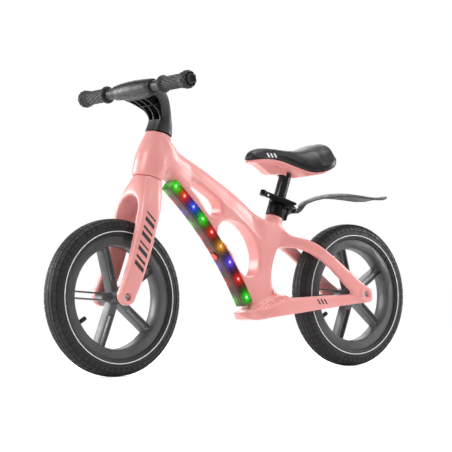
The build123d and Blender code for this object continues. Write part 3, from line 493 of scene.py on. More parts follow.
def lathe(points, centre, axis=(0, 1, 0), steps=96, sweep=360.0, closed=True):
    """Spin a profile of (radius, offset along the axis) about an axis through a centre, in mm."""
    bm = bmesh.new()
    line = Vector(axis).normalized()
    out = Vector((1, 0, 0)) if abs(line.x) < 0.9 else Vector((0, 0, 1))
    out = (out - line * out.dot(line)).normalized()
    rows = [bm.verts.new(centre + out * r + line * y) for r, y in points]
    edges = [bm.edges.new(pair) for pair in zip(rows, rows[1:])]
    if closed:
        edges.append(bm.edges.new((rows[-1], rows[0])))
    bmesh.ops.spin(bm, geom=rows + edges, cent=centre, axis=line, angle=radians(sweep), steps=steps,
                   use_merge=sweep == 360.0, use_normal_flip=False, use_duplicate=False)
    bmesh.ops.remove_doubles(bm, verts=bm.verts, dist=0.001)
    bmesh.ops.recalc_face_normals(bm, faces=bm.faces)
    return bm


def plate(bm, outline, move):
    """Closed plate from an outline, as thick as `move`."""
    grown = bmesh.ops.extrude_face_region(bm, geom=[bm.faces.new([bm.verts.new(p) for p in outline])])
    moved = [v for v in grown["geom"] if isinstance(v, bmesh.types.BMVert)]
    bmesh.ops.translate(bm, vec=move, verts=moved)


def smoothstep(x, low, high):
    """0 below low, 1 above high, smooth between."""
    t = min(1.0, max(0.0, (x - low) / (high - low)))
    return t * t * (3 - 2 * t)


# ------------------------------------------------------------------ frame and fork
CREASE = [(228, 436), (193, 427), (171, 415), (134, 393), (99, 375), (59, 347), (39, 332), (18, 320),
          (-1, 304), (-20, 288), (-54, 260)]
ROLL = 33.0           # height of the rounded back above the crease


def above_crease(x, z):
    """Signed distance above the crease line."""
    best = None
    for (x0, z0), (x1, z1) in zip(CREASE, CREASE[1:]):
        dx, dz = x1 - x0, z1 - z0
        t = min(1.0, max(0.0, ((x - x0) * dx + (z - z0) * dz) / (dx * dx + dz * dz)))
        gap = hypot(x - x0 - t * dx, z - z0 - t * dz)
        side = 1.0 if (x - x0) * dz - (z - z0) * dx > 0 else -1.0
        if best is None or gap < abs(best):
            best = side * gap
    return best


def beside_axis(origin, lean, x, z):
    """Distances in front of and along a leaning axis."""
    a = radians(lean)
    return ((x - origin.x) * cos(a) + (z - origin.z) * sin(a),
            (z - origin.z) * cos(a) - (x - origin.x) * sin(a))


def shape_panel(piece):
    """Roll the main tube in above its crease."""
    for vert in piece.data.vertices:
        x, y, z = vert.co / MM
        if x < -70 or z < 250:
            continue
        behind = -beside_axis(STEER_FOOT, STEER_LEAN, x, z)[0]
        rise = above_crease(x, z)
        if rise > 0:
            fade = smoothstep(x, -62, -30) * smoothstep(behind, 16, 60)
            share = min(1.0, rise / ROLL)
            pull = (1 - 0.34 * share) * (1 - 0.5 * share ** 3) ** 0.5 - 0.055 * smoothstep(rise, 0, 2.6)
            vert.co.y *= 1 + (pull - 1) * fade


def frame_softness(point):
    """How far each part of the frame is smoothed: crisp at seats and rims, soft elsewhere."""
    x, y, z = point
    ahead, up = beside_axis(SEAT_RIM, SEAT_LEAN, x, z)
    if hypot(ahead, y) < BORE_ROOM and -SEAT_BORE - 4 < up < 0:
        return 0.0
    soft = smoothstep(hypot(x - REAR_AXLE.x, z - REAR_AXLE.z), 14, 34)
    rim = (point - SEAT_RIM).length
    soft *= 0.25 + 0.75 * smoothstep(rim, 20, 34)
    ahead, up = beside_axis(STEER_FOOT, STEER_LEAN, x, z)
    if abs(ahead) < 40:
        soft *= 0.15 + 0.85 * smoothstep(up, 242, 254) * (1 - smoothstep(up, 322, 331))
    reach = hypot(x - ARC_CENTRE.x, z - ARC_CENTRE.z)
    soft *= 0.3 + 0.7 * smoothstep(reach, ARC_BACK, ARC_BACK + 5)
    return max(0.12, soft)


CROWN = ((120, 24.0, 3.0, 49.0, 9.0), (160, 26.0, 3.0, 49.0, 5.0), (195, 29.5, 2.5, 45.3, 3.0),
         (220, 30.0, 1.2, 38.5, 2.3), (240, 31.0, 0.0, 31.0, 2.0))


def round_crown(piece):
    """Turn the crown's square sections into ovals that meet the round head tube. CROWN lists height,
    half depth, middle, half width and squareness."""
    ex = Vector((cos(radians(STEER_LEAN)), 0, sin(radians(STEER_LEAN))))
    for vert in piece.data.vertices:
        point = vert.co / MM
        ahead, up = beside_axis(STEER_FOOT, STEER_LEAN, point.x, point.z)
        if up <= CROWN[0][0]:
            continue
        depth, middle, wide, square = (float(np.interp(up, [row[0] for row in CROWN],
                                                       [row[k] for row in CROWN])) for k in range(1, 5))
        a, b = (ahead - middle) / depth, point.y / wide
        size = (abs(a) ** square + abs(b) ** square) ** (1 / square)
        if size < 0.05:
            continue
        shrink = max(abs(a), abs(b)) / size
        forward = middle + a * shrink * depth - ahead
        outward = b * shrink * wide - point.y
        vert.co += (ex * forward + Vector((0, outward, 0))) * MM


class BIKE_OT_frame(bpy.types.Operator):
    """Moulded frame with its crease and windows"""
    bl_idname = "bike.frame"
    bl_label = "Moulded Frame"

    def execute(self, context):
        piece = skinned_copy("frame", "frame_moulding", sizes().skin)
        smoothed(piece, 16, frame_softness)
        shape_panel(piece)
        dress(piece, "frame", "pink", ["frame"], angle=60)
        return {"FINISHED"}


class BIKE_OT_fork(bpy.types.Operator):
    """Moulded fork with its tall arch"""
    bl_idname = "bike.fork"
    bl_label = "Moulded Fork"

    def execute(self, context):
        piece = skinned_copy("fork", "fork_moulding", sizes().skin * 0.85)

        def softness(point):
            near_axle = hypot(point.x - FRONT_AXLE.x, point.z - FRONT_AXLE.z)
            ahead, up = beside_axis(STEER_FOOT, STEER_LEAN, point.x, point.z)
            return max(0.12, smoothstep(near_axle, 10, 24) * (1 - smoothstep(up, 230, 237)))

        smoothed(piece, 14, softness)
        round_crown(piece)
        dress(piece, "steering", "pink", ["fork"], angle=60)
        return {"FINISHED"}


# ------------------------------------------------------------------ printed marks and step ribs
def draped(name, target, patches, lift, body, look):
    """Thin patches laid on a target: each is four (x, z) corners and the side they face."""
    bm = bmesh.new()
    for corners, side in patches:
        cells = 6
        rows = []
        for i in range(cells + 1):
            row = []
            for j in range(3):
                a, b = i / cells, j / 2
                left = Vector(corners[0]).lerp(Vector(corners[1]), a)
                right = Vector(corners[3]).lerp(Vector(corners[2]), a)
                x, z = left.lerp(right, b)
                hit, spot, normal, _ = target.ray_cast(Vector((x, side * 200, z)) * MM,
                                                       Vector((0, -side, 0)))
                if not hit:
                    raise RuntimeError(f"{name}: a patch misses its surface at {x:.0f}, {z:.0f}")
                row.append(bm.verts.new((spot + normal * lift * MM) / MM))
            rows.append(row)
        for low, high in zip(rows, rows[1:]):
            for k in range(2):
                quad = (low[k], low[k + 1], high[k + 1], high[k])
                bm.faces.new(quad if side > 0 else quad[::-1])
    bmesh.ops.recalc_face_normals(bm, faces=bm.faces)
    solid = link(name, bm)
    wall = solid.modifiers.new("ink", "SOLIDIFY")
    wall.thickness = lift * MM * 0.8
    bake(solid)
    return dress(solid, body, look, angle=50)


RIBS = 11
RIB_FRONT = -37.0
RIB_PITCH = 7.0
RIB_WIDE = 2.6
RIB_HIGH = 1.1
LEG_STRIPES = (8.0, 5.0, 8.0, 3.5, 8.0, 5.0, 8.0, 3.5)      # widths, from the foot up
LEG_STRIPE_FOOT = 50
LEG_STRIPE_PITCH = 14.5


def slanted_stripes(places, low, high, lean):
    """Patches 4 mm wide from height low to high on both sides, one for each x in places."""
    return [([(x, low), (x + lean, high), (x + lean + 4, high), (x + 4, low)], side)
            for x in places for side in (1, -1)]


class BIKE_OT_marks(bpy.types.Operator):
    """Plain slanted stripes printed on the fork legs, chainstays and saddle"""
    bl_idname = "bike.marks"
    bl_label = "Printed Stripes"

    def execute(self, context):
        leg = bpy.data.objects["fork_moulding"]
        patches = []
        for index, width in enumerate(LEG_STRIPES):
            low = LEG_STRIPE_FOOT + index * LEG_STRIPE_PITCH
            for side in (1, -1):
                quad = [leaning(STEER_FOOT, STEER_LEAN, u, low + v) for u, v in
                        ((-9, 0), (-9, width), (15, width + 12), (15, 12))]
                patches.append(([(p.x, p.z) for p in quad], side))
        draped("leg_stripes", leg, patches, 0.25, "steering", "ink_dark")
        stay = bpy.data.objects["frame_moulding"]
        patches = slanted_stripes((-200, -191, -182), 131, 141, 7)
        draped("stay_stripes", stay, patches, 0.2, "frame", "ink_dark")
        pad = bpy.data.objects["foam_pad"]
        patches = slanted_stripes((-94, -85, -76), 431, 440, 3)
        draped("saddle_stripes", pad, patches, 0.2, "seat", "ink_pale")
        build_ribs(stay)
        return {"FINISHED"}


def build_ribs(target):
    """Raised anti-slip bars across the step, a long one and a short one in turn."""
    bm = bmesh.new()
    for side in (1, -1):
        for index in range(RIBS):
            x = RIB_FRONT - RIB_PITCH * index
            inner = 30.0 if index % 2 else 18.0
            outer = min(42.0, 31.0 + 0.42 * RIB_PITCH * index)
            rows = []
            for k in range(5):
                y = side * (inner + (outer - inner) * k / 4)
                row = []
                for edge in (-RIB_WIDE / 2, RIB_WIDE / 2):
                    hit, spot, normal, _ = target.ray_cast(Vector((x + edge, y, 172)) * MM,
                                                           Vector((0, 0, -1)))
                    if not hit:
                        raise RuntimeError(f"a step rib misses the frame at {x:.0f}, {y:.0f}")
                    row.append(bm.verts.new((spot + normal * RIB_HIGH * MM) / MM))
                rows.append(row)
            for low, high in zip(rows, rows[1:]):
                quad = (low[0], low[1], high[1], high[0])
                bm.faces.new(quad if side > 0 else quad[::-1])
    bmesh.ops.recalc_face_normals(bm, faces=bm.faces)
    bars = link("step_ribs", bm)
    wall = bars.modifiers.new("bars", "SOLIDIFY")
    wall.thickness = RIB_HIGH * 1.6 * MM
    bake(bars)
    dress(bars, "frame", "pink", angle=40)


# ------------------------------------------------------------------ wheels
def tread_profile():
    """Half section of a tyre as (radius, half width), from the tread's middle rib to the bead."""
    return [(TYRE_R - 1.3, 4.2), (TYRE_R - 2.5, 12.4), (TYRE_R - 8.3, 19.0), (TYRE_R - 16.5, 21.3),
            (TYRE_R - 22, 22.0), (126.2, 22.0), (123.8, 22.0), (119.6, 20.9), (117.4, 19.4), (116.7, 17.6),
            (115.4, 16.8), (112.0, 14.0)]


def build_tyre(wheel, axle):
    """Tyre spun from its section, with a raised block on every tread face."""
    half = tread_profile()
    points = half + [(r, -y) for r, y in reversed(half)]
    bm = lathe(points, axle, steps=sizes().tread_rows)
    blocks = []
    for face in bm.faces:
        middle = face.calc_center_median() - axle
        if hypot(middle.x, middle.z) > half[3][0] - 0.6:
            blocks.append(face)
    bmesh.ops.inset_individual(bm, faces=blocks, thickness=sizes().tread_gap / MM / 2, depth=0.0,
                               use_even_offset=True)
    bmesh.ops.inset_individual(bm, faces=blocks, thickness=0.15, depth=sizes().tread_depth / MM,
                               use_even_offset=True)
    piece = link(f"{wheel}_treaded_tyre", bm)
    dress(piece, f"{wheel}_wheel", f"{wheel}_rubber", [f"{wheel}_tyre"], angle=28)


class BIKE_OT_wheels(bpy.types.Operator):
    """Both wheels: treaded tyre, moulded rim and valve cap"""
    bl_idname = "bike.wheels"
    bl_label = "Wheels"

    def execute(self, context):
        for wheel, axle in (("front", FRONT_AXLE), ("rear", REAR_AXLE)):
            build_tyre(wheel, axle)
            softened(f"{wheel}_rim", f"{wheel}_wheel", "wheel", 0.9 * MM)
            softened(f"{wheel}_valve_cap", f"{wheel}_wheel", "black")
        return {"FINISHED"}


# ------------------------------------------------------------------ handlebar
# rear point, front point and half width of each section of the stem, from the head tube up
NECK = ((168, 461, 214.0, 475.0, 25), (167, 477, 207, 490, 24), (169, 496, 205, 501, 25),
        (174, 515, 210, 512, 30), (184, 532, 219, 520, 40), (199, 547, 230, 527, 50),
        (222, 558, 242, 532, 56), (236, 565, 248, 540, 56))
NECK_STEPS = 5        # rings between two listed sections
NECK_WALL = 2.6
NECK_SQUARE = 2.7     # 2 is an oval section, more is squarer
NECK_RIB = 2.4
NECK_SHELF = 4.1      # the shelf's place up the listed sections
SLEEVE = ((11.4, -60), (14.0, -60), (14.6, -59.3), (15.9, -45), (17.0, -30), (17.8, -12), (17.9, 0),
          (17.8, 12), (17.0, 30), (15.9, 45), (14.6, 59.3), (14.0, 60), (11.4, 60))


def neck_section(place_up):
    """Section of the stem at a place between two listed ones, on a smooth curve through all."""
    rows = np.array(NECK, dtype=float)
    low = min(int(place_up), len(rows) - 2)
    t = place_up - low
    before, here, there, after = (rows[max(0, min(len(rows) - 1, low + k))] for k in (-1, 0, 1, 2))
    return 0.5 * (2 * here + (there - before) * t + (2 * before - 5 * here + 4 * there - after) * t ** 2
                  + (3 * here - before - 3 * there + after) * t ** 3)


def neck_ring(place_up, count, scale=1.0):
    """Points round the stem at a place between two listed sections."""
    rear_x, rear_z, front_x, front_z, wide = neck_section(place_up)
    middle = Vector((rear_x + front_x, 0, rear_z + front_z)) / 2
    half = Vector((front_x - rear_x, 0, front_z - rear_z)) / 2 * scale
    points = []
    for k in range(count):
        c, d = (abs(v) ** (2 / NECK_SQUARE) * (1 if v > 0 else -1)
                for v in (cos(2 * pi * k / count), sin(2 * pi * k / count)))
        points.append(middle + half * c + Vector((0, wide * scale * d, 0)))
    return points


def build_stem():
    """Gooseneck stem: lofted shell open at the front over thin ribs, with the handlebar sleeve."""
    bm = bmesh.new()
    count = 56
    rings = []
    for step in range((len(NECK) - 1) * NECK_STEPS + 1):
        ring = [bm.verts.new(p) for p in neck_ring(step / NECK_STEPS, count)]
        rings.append(ring)
    for low, high in zip(rings, rings[1:]):
        for k in range(count):
            bm.faces.new((low[k], low[(k + 1) % count], high[(k + 1) % count], high[k]))
    bm.faces.new(rings[-1])
    bmesh.ops.recalc_face_normals(bm, faces=bm.faces)
    first, last = 2 * NECK_STEPS - 3, 6 * NECK_STEPS
    inner = {v for ring in rings[first:last] for k, v in enumerate(ring) if min(k, count - k) <= 9}
    opened = [face for face in bm.faces if all(v in inner for v in face.verts)]
    bmesh.ops.delete(bm, geom=opened, context="FACES")
    shell = link("gooseneck_shell", bm)
    wall = shell.modifiers.new("wall", "SOLIDIFY")
    wall.thickness = NECK_WALL * MM
    wall.offset = -1.0
    bake(shell)
    dress(shell, "steering", "stem", ["stem"], angle=45)

    ribs = bmesh.new()
    places = [1.35 + 0.35 * k for k in range(14)]
    for side in (-18.0, 0.0, 18.0):
        outline = []
        for where in places + places[::-1]:
            rear_x, rear_z, front_x, front_z, wide = neck_section(where)
            reach = (1 - (abs(side) / wide) ** NECK_SQUARE) ** (1 / NECK_SQUARE)
            reach = min(0.9, reach - 0.07) * (-1 if len(outline) < len(places) else 1)
            middle = Vector((rear_x + front_x, 0, rear_z + front_z)) / 2
            outline.append(middle + Vector((front_x - rear_x, 0, front_z - rear_z)) / 2 * reach)
        outline = [p + Vector((0, side - NECK_RIB / 2, 0)) for p in outline]
        plate(ribs, outline, (0, NECK_RIB, 0))
    plate(ribs, neck_ring(NECK_SHELF, count, 0.9), (0.6, 0, -2.0))
    bmesh.ops.recalc_face_normals(ribs, faces=ribs.faces)
    dress(link("gooseneck_ribs", ribs), "steering", "stem", angle=30)

    sleeve = lathe(SLEEVE, Vector((BAR.x, 0, BAR.z)), steps=72)
    dress(link("bar_sleeve", sleeve), "steering", "stem", angle=40)


def build_grip(word, side):
    """Grip spun from its outline, with slanting ribs and a studded bulb."""
    outline = [(11.2, 88.0), (15.0, 88.0), (17.0, 90.2), (17.2, 92.5), (16.4, 95.0), (14.2, 97.5)]
    rings = 52
    outline += [(13.1, 97.5 + (149.5 - 97.5) * i / rings) for i in range(1, rings)]
    outline += [(13.4, 149.5), (15.4, 153.0)]
    bulb = 18
    for i in range(bulb + 1):
        a = radians(140 - 104 * i / bulb)
        outline.append((6.2 + 10.6 * sin(a), 165.2 - 12.5 * cos(a)))
    outline += [(9.0, BAR_END - 0.3), (6.4, BAR_END - 0.2), (6.0, 177.0), (3.0, 176.9), (0.02, 176.9)]
    points = [(r, side * y) for r, y in outline]
    bm = lathe(points, Vector((BAR.x, 0, BAR.z)), steps=160, closed=False)
    for vert in bm.verts:
        out = Vector((vert.co.x - BAR.x, 0, vert.co.z - BAR.z))
        along = abs(vert.co.y)
        turn = atan2(out.z, out.x)
        if out.length < 6.5 or out.length < 1e-6:
            continue
        if 98 < along < 149:
            wave = sin(14 * turn + along * 0.34)
            lift = 0.9 * max(-0.6, min(0.6, wave * 1.6))
        elif 156 < along < 176:
            stud = sin(9 * turn) * sin((along - 156) * pi / 5.0)
            lift = 0.8 if stud > 0.1 else (-0.9 if stud < -0.1 else 0.0)
        else:
            lift = 0.0
        vert.co += out.normalized() * lift
    piece = link(f"ribbed_grip_{word}", bm)
    dress(piece, "steering", "grip", [f"grip_{word}"], angle=40)


class BIKE_OT_handlebar(bpy.types.Operator):
    """Stem, handlebar tube and grips"""
    bl_idname = "bike.handlebar"
    bl_label = "Handlebar"

    def execute(self, context):
        build_stem()
        for word, side in (("left", 1), ("right", -1)):
            build_grip(word, side)
        return {"FINISHED"}


# ------------------------------------------------------------------ saddle
class BIKE_OT_saddle(bpy.types.Operator):
    """Crowned foam pad on its moulded shell"""
    bl_idname = "bike.saddle"
    bl_label = "Saddle"

    def execute(self, context):
        pad = skinned_copy("saddle_pad", "foam_pad", 3 * MM)
        smoothed(pad, 6, lambda point: 1.0)
        crown_pad(pad)
        smoothed(pad, 6, lambda point: 1.0)
        inflate(pad, sizes().pad_pressure, 4.0)
        finer = pad.modifiers.new("finer", "SUBSURF")
        finer.levels = 1
        finer.render_levels = 1
        bake(pad)
        dress(pad, "seat", "foam", ["saddle_pad"], angle=70)
        shell = skinned_copy("saddle_base", "saddle_shell", 1.6 * MM)
        hollow_keel(shell)
        smoothed(shell, 6, lambda point: 1.0)
        dress(shell, "seat", "pink", ["saddle_base"], angle=60)
        return {"FINISHED"}


SEAM = ((-245, 438), (-222, 418), (-190, 404), (-165, 402), (-135, 413), (-100, 426), (-60, 428), (-26, 424))
PLAN = ((-241, 8), (-236, 40), (-215, 65), (-180, 64), (-140, 42), (-90, 24), (-40, 16), (-28, 3))


def along(table, x):
    """Value at x of a short list of (x, value) pairs."""
    return float(np.interp(x, [row[0] for row in table], [row[1] for row in table]))


def crown_pad(piece):
    """Let the pad's top fall in a round to the seam, lower towards the tail."""
    for vert in piece.data.vertices:
        x, y, z = vert.co / MM
        seam = along(SEAM, x)
        if z <= seam:
            continue
        share = min(1.0, abs(y) / (along(PLAN, x) + 0.5))
        tail = 1 - 0.75 * smoothstep(-x, 222, 242) ** 2
        nose = 1 - 0.4 * smoothstep(x, -42, -27) ** 2
        vert.co.z = (seam + (z - seam) * (1 - 0.93 * share ** 2.6) ** 0.5 * tail * nose) * MM


KEEL_HALF = 10.8      # half width of the saddle shell round its post


def hollow_keel(piece):
    """Leave a lip under the pad and draw the shell in below it to a keel."""
    for vert in piece.data.vertices:
        x, y, z = vert.co / MM
        drop = along(SEAM, x) - z
        if drop > 2.5:
            share = smoothstep(drop, 2.5, 17)
            y *= 1 - 0.62 * share * smoothstep(abs(y), 10, 24)
            thick = max(KEEL_HALF, abs(y) * (1 - share))
            vert.co.y = max(-thick, min(thick, y)) * MM
            ahead, _ = beside_axis(SEAT_RIM, SEAT_LEAN, x, z)
            rise = 7.0 * smoothstep(ahead, 2, 10) * (1 - smoothstep(ahead, 24, 50))
            vert.co.z += rise * smoothstep(drop, 8, 20) * MM


def inflate(piece, pressure, cap):
    """Swell a closed skin by cloth simulation, no point moving more than `cap` millimetres."""
    rest = [v.co.copy() for v in piece.data.vertices]
    cloth = piece.modifiers.new("swell", "CLOTH")
    cloth.settings.use_pressure = True
    cloth.settings.uniform_pressure_force = pressure
    cloth.settings.effector_weights.gravity = 0.0
    cloth.point_cache.frame_start = 1
    cloth.point_cache.frame_end = 20
    scene = bpy.context.scene
    for step in range(1, 21):
        scene.frame_set(step)
    bake(piece)
    scene.frame_set(1)
    for vert, home in zip(piece.data.vertices, rest):
        move = vert.co - home
        if move.length > cap * MM:
            vert.co = home + move.normalized() * cap * MM


# ------------------------------------------------------------------ light strip
COVER_ENDS = (130.2, 153.4)      # degrees about the centre of the strip's arc
COVER_HALF = 14.5
COVER_CORNER = 4.5
COVER_WALL = 1.4
LAMP_SIDE = 12.4
GREEN, RED, BLUE, AMBER, VIOLET = "#3CFF1E", "#FF2410", "#2458FF", "#FFA814", "#6F4BFF"
NEAR_ROW = (GREEN, RED, BLUE, GREEN, RED, AMBER, VIOLET, RED, GREEN)
FAR_ROW = (GREEN, RED, BLUE, GREEN, RED, RED, VIOLET, RED, GREEN)


def lamp_angle(index):
    """Lamps stand a little closer together near the head tube."""
    return 130.8 + 2.08 * index + 0.077 * index ** 2


def lamps():
    """Place and linear colour of every lamp."""
    found = []
    for row, side, radius in ((NEAR_ROW, 1, ARC_BACK - 9), (FAR_ROW, -1, ARC_BACK - 20)):
        for index, code in enumerate(row):
            found.append((on_arc(radius, lamp_angle(index), side * LAMP_SIDE),
                          Vector(linear(code)[:3])))
    return found


def colour_attribute(piece, value):
    """Store value(point in mm) as the piece's point colour `glow`."""
    layer = piece.data.color_attributes.new("glow", "FLOAT_COLOR", "POINT")
    for item, vert in zip(layer.data, piece.data.vertices):
        item.color = (*value(vert.co / MM), 1.0)


class BIKE_OT_lights(bpy.types.Operator):
    """Smoked light strip with its lamps and button"""
    bl_idname = "bike.lights"
    bl_label = "Light Strip"

    def execute(self, context):
        low, high = COVER_ENDS
        half, corner = COVER_HALF, COVER_CORNER
        section = [(ARC_BACK - 0.3 - 18.0 * i / 12, half) for i in range(13)]
        for i in range(1, 8):
            a = radians(90 * i / 8)
            section.append((ARC_FRONT + corner - corner * sin(a), half - corner + corner * cos(a)))
        section += [(ARC_FRONT, y) for y in (half - corner, 6, 3, 0)]
        section += [(r, -y) for r, y in reversed(section[:-1])]
        start = on_arc(1, low) - ARC_CENTRE
        bm = bmesh.new()
        rows = [bm.verts.new(ARC_CENTRE + start * r + Vector((0, y, 0))) for r, y in section]
        edges = [bm.edges.new(pair) for pair in zip(rows, rows[1:])]
        bmesh.ops.spin(bm, geom=rows + edges, cent=ARC_CENTRE, axis=(0, 1, 0), angle=-radians(high - low),
                       steps=150, use_merge=False, use_normal_flip=False, use_duplicate=False)
        for angle in (low, high):
            cap = [v for v in bm.verts
                   if abs(degrees(atan2(v.co.z - ARC_CENTRE.z, v.co.x - ARC_CENTRE.x)) - angle) < 0.02]
            bmesh.ops.contextual_create(bm, geom=cap)
        bmesh.ops.recalc_face_normals(bm, faces=bm.faces)
        cover = link("smoked_cover", bm)
        wall = cover.modifiers.new("wall", "SOLIDIFY")
        wall.thickness = COVER_WALL * MM
        wall.offset = -1.0
        bake(cover)
        found = lamps()

        # painted light: a faint red glow painted on the cover's front faces
        painted_front_glow = Vector(linear("#7A2A1E")[:3])

        # painted light: the glow of every lamp painted onto the cover, a soft pool in its colour with a
        # near-white core, weaker on the front faces
        def glow(point):
            total = Vector((0, 0, 0))
            facing_front = hypot(point.x - ARC_CENTRE.x, point.z - ARC_CENTRE.z) < ARC_FRONT + 1.5
            for spot, colour in found:
                if spot.y * point.y < -20:
                    continue
                gap = (point - spot).length
                spread = 0.2 * exp(-(gap / 16.0) ** 2) + 0.8 * exp(-(gap / 10.0) ** 2)
                total += colour * spread * (0.6 if facing_front else 1.0)
                total += Vector((1, 1, 1)) * 4.0 * exp(-(gap / 2.0) ** 2)
            if facing_front:
                total += painted_front_glow * 0.3
            return total

        colour_attribute(cover, glow)
        dress(cover, "frame", "cover", ["light_cover"], angle=40)
        lenses = link("lit_lamps", cad_copy("light_leds"))

        def nearest(point):
            spot, colour = min(found, key=lambda lamp: (lamp[0] - point).length)
            return colour * 0.8 + Vector((0.35, 0.35, 0.35))

        colour_attribute(lenses, nearest)
        dress(lenses, "frame", "lens", ["light_leds"])
        softened("button_bezel", "frame", "black")
        softened("light_button", "light_button", "button")
        return {"FINISHED"}


# ------------------------------------------------------------------ seat clamp, lever and mudguard
class BIKE_OT_clamp(bpy.types.Operator):
    """Collar, quick-release clamp, lever and bolts"""
    bl_idname = "bike.clamp"
    bl_label = "Seat Clamp"

    def execute(self, context):
        softened("seat_collar", "frame", "anodised", 0.6 * MM)
        softened("seat_clamp", "frame", "anodised", 0.6 * MM)
        softened("quick_lever", "quick_lever", "anodised", 1.0 * MM)
        softened("clamp_skewer", "frame", "painted")
        softened("collar_bolts", "frame", "painted")
        softened("guard_bracket", "frame", "black", 0.6 * MM)
        softened("guard_pin", "frame", "painted")
        return {"FINISHED"}


# outline of the mudguard's root from its pivot to under the blade
HOOK = ((-146.8, 327), (-149, 330.2), (-154, 330.4), (-163, 329.6), (-172, 333), (-184, 343.5), (-205, 352.5),
        (-206, 349), (-187, 337), (-176, 325.5), (-166, 320), (-154, 319.4), (-148.5, 320.5), (-146.6, 324))
HOOK_WIDE = 8.0
# x, height and half width along the blade
BLADE = ((-172, 333, 5), (-182, 341, 12), (-200, 349.5, 19), (-222, 356.5, 26), (-245, 361, 30),
         (-275, 363.6, 32), (-300, 363.8, 33), (-330, 361.8, 33), (-360, 358.6, 31.5), (-385, 357.6, 28),
         (-402, 358.8, 22), (-412, 360.2, 15), (-417.5, 361, 6))
BLADE_CROWN = 8.0     # how much lower the blade's edges lie than its middle, at the widest
BLADE_WALL = 2.2


def build_blade():
    """Arched mudguard blade with its edges turned down."""
    bm = bmesh.new()
    across, lengthwise = 14, 48
    spots = [BLADE[0][0] + (BLADE[-1][0] - BLADE[0][0]) * i / lengthwise for i in range(lengthwise + 1)]
    places = [-row[0] for row in BLADE]
    rows = []
    for x in spots:
        height = float(np.interp(-x, places, [row[1] for row in BLADE]))
        wide = float(np.interp(-x, places, [row[2] for row in BLADE]))
        crown = BLADE_CROWN * (wide / 33.0) ** 2
        rows.append([bm.verts.new((x, wide * t, height - crown * t * t))
                     for t in (2 * j / across - 1 for j in range(across + 1))])
    for low, high in zip(rows, rows[1:]):
        for j in range(across):
            bm.faces.new((low[j], low[j + 1], high[j + 1], high[j]))
    bmesh.ops.smooth_vert(bm, verts=[v for row in rows[1:-1] for v in row[1:-1]], factor=0.5,
                          use_axis_x=False, use_axis_y=False, use_axis_z=True)
    bmesh.ops.recalc_face_normals(bm, faces=bm.faces)
    piece = link("mudguard_blade", bm)
    wall = piece.modifiers.new("wall", "SOLIDIFY")
    wall.thickness = BLADE_WALL * MM
    wall.offset = 0.0
    bake(piece)
    dress(piece, "mudguard", "blade", ["mudguard"], angle=50)


class BIKE_OT_mudguard(bpy.types.Operator):
    """Thin arched mudguard blade and the hook it swings on"""
    bl_idname = "bike.mudguard"
    bl_label = "Mudguard"

    def execute(self, context):
        build_blade()
        root = bmesh.new()
        plate(root, [(x, -HOOK_WIDE / 2, z) for x, z in HOOK], (0, HOOK_WIDE, 0))
        bmesh.ops.recalc_face_normals(root, faces=root.faces)
        edges = [e for e in root.edges if e.calc_face_angle(0) > radians(60)]
        bmesh.ops.bevel(root, geom=edges, affect="EDGES", offset=1.2, segments=3, profile=0.5, material=-1)
        dress(link("mudguard_hook", root), "mudguard", "black", angle=50)
        return {"FINISHED"}


class BIKE_OT_finishes(bpy.types.Operator):
    """Finishes of the CAD pieces that show as they are"""
    bl_idname = "bike.finishes"
    bl_label = "Carried Pieces"

    def execute(self, context):
        looks = {
            "steel": ["lower_headset_bearing", "upper_headset_bearing", "crown_race", "top_race",
                      "front_hub_bearings", "rear_hub_bearings"],
            "painted": ["steerer_tube", "seat_post"],
            "stem": ["handlebar"],
            "black": ["light_base", "post_plug", "front_axle_spacers", "rear_axle_spacers"],
            "board": ["light_boards"],
            "zinc": ["battery_cells", "light_screws", "front_axle", "rear_axle", "front_axle_bolts",
                     "rear_axle_bolts", "front_hub_spacer", "rear_hub_spacer"],
            "film": ["front_reflective_lines", "rear_reflective_lines"],
            "butyl": ["front_inner_tube", "rear_inner_tube", "front_valve", "rear_valve"],
        }
        for look, nodes in looks.items():
            for node in nodes:
                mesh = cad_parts[node].data
                mesh.materials.clear()
                mesh.materials.append(finish(look))
        return {"FINISHED"}


# ------------------------------------------------------------------ stage
CAMERA_AT = Vector((2.206, 2.671, 0.110))
CAMERA_AZIMUTH = 140.78
CAMERA_RISE = -3.0
CAMERA_ROLL = -1.23
CAMERA_LENS = 137.3


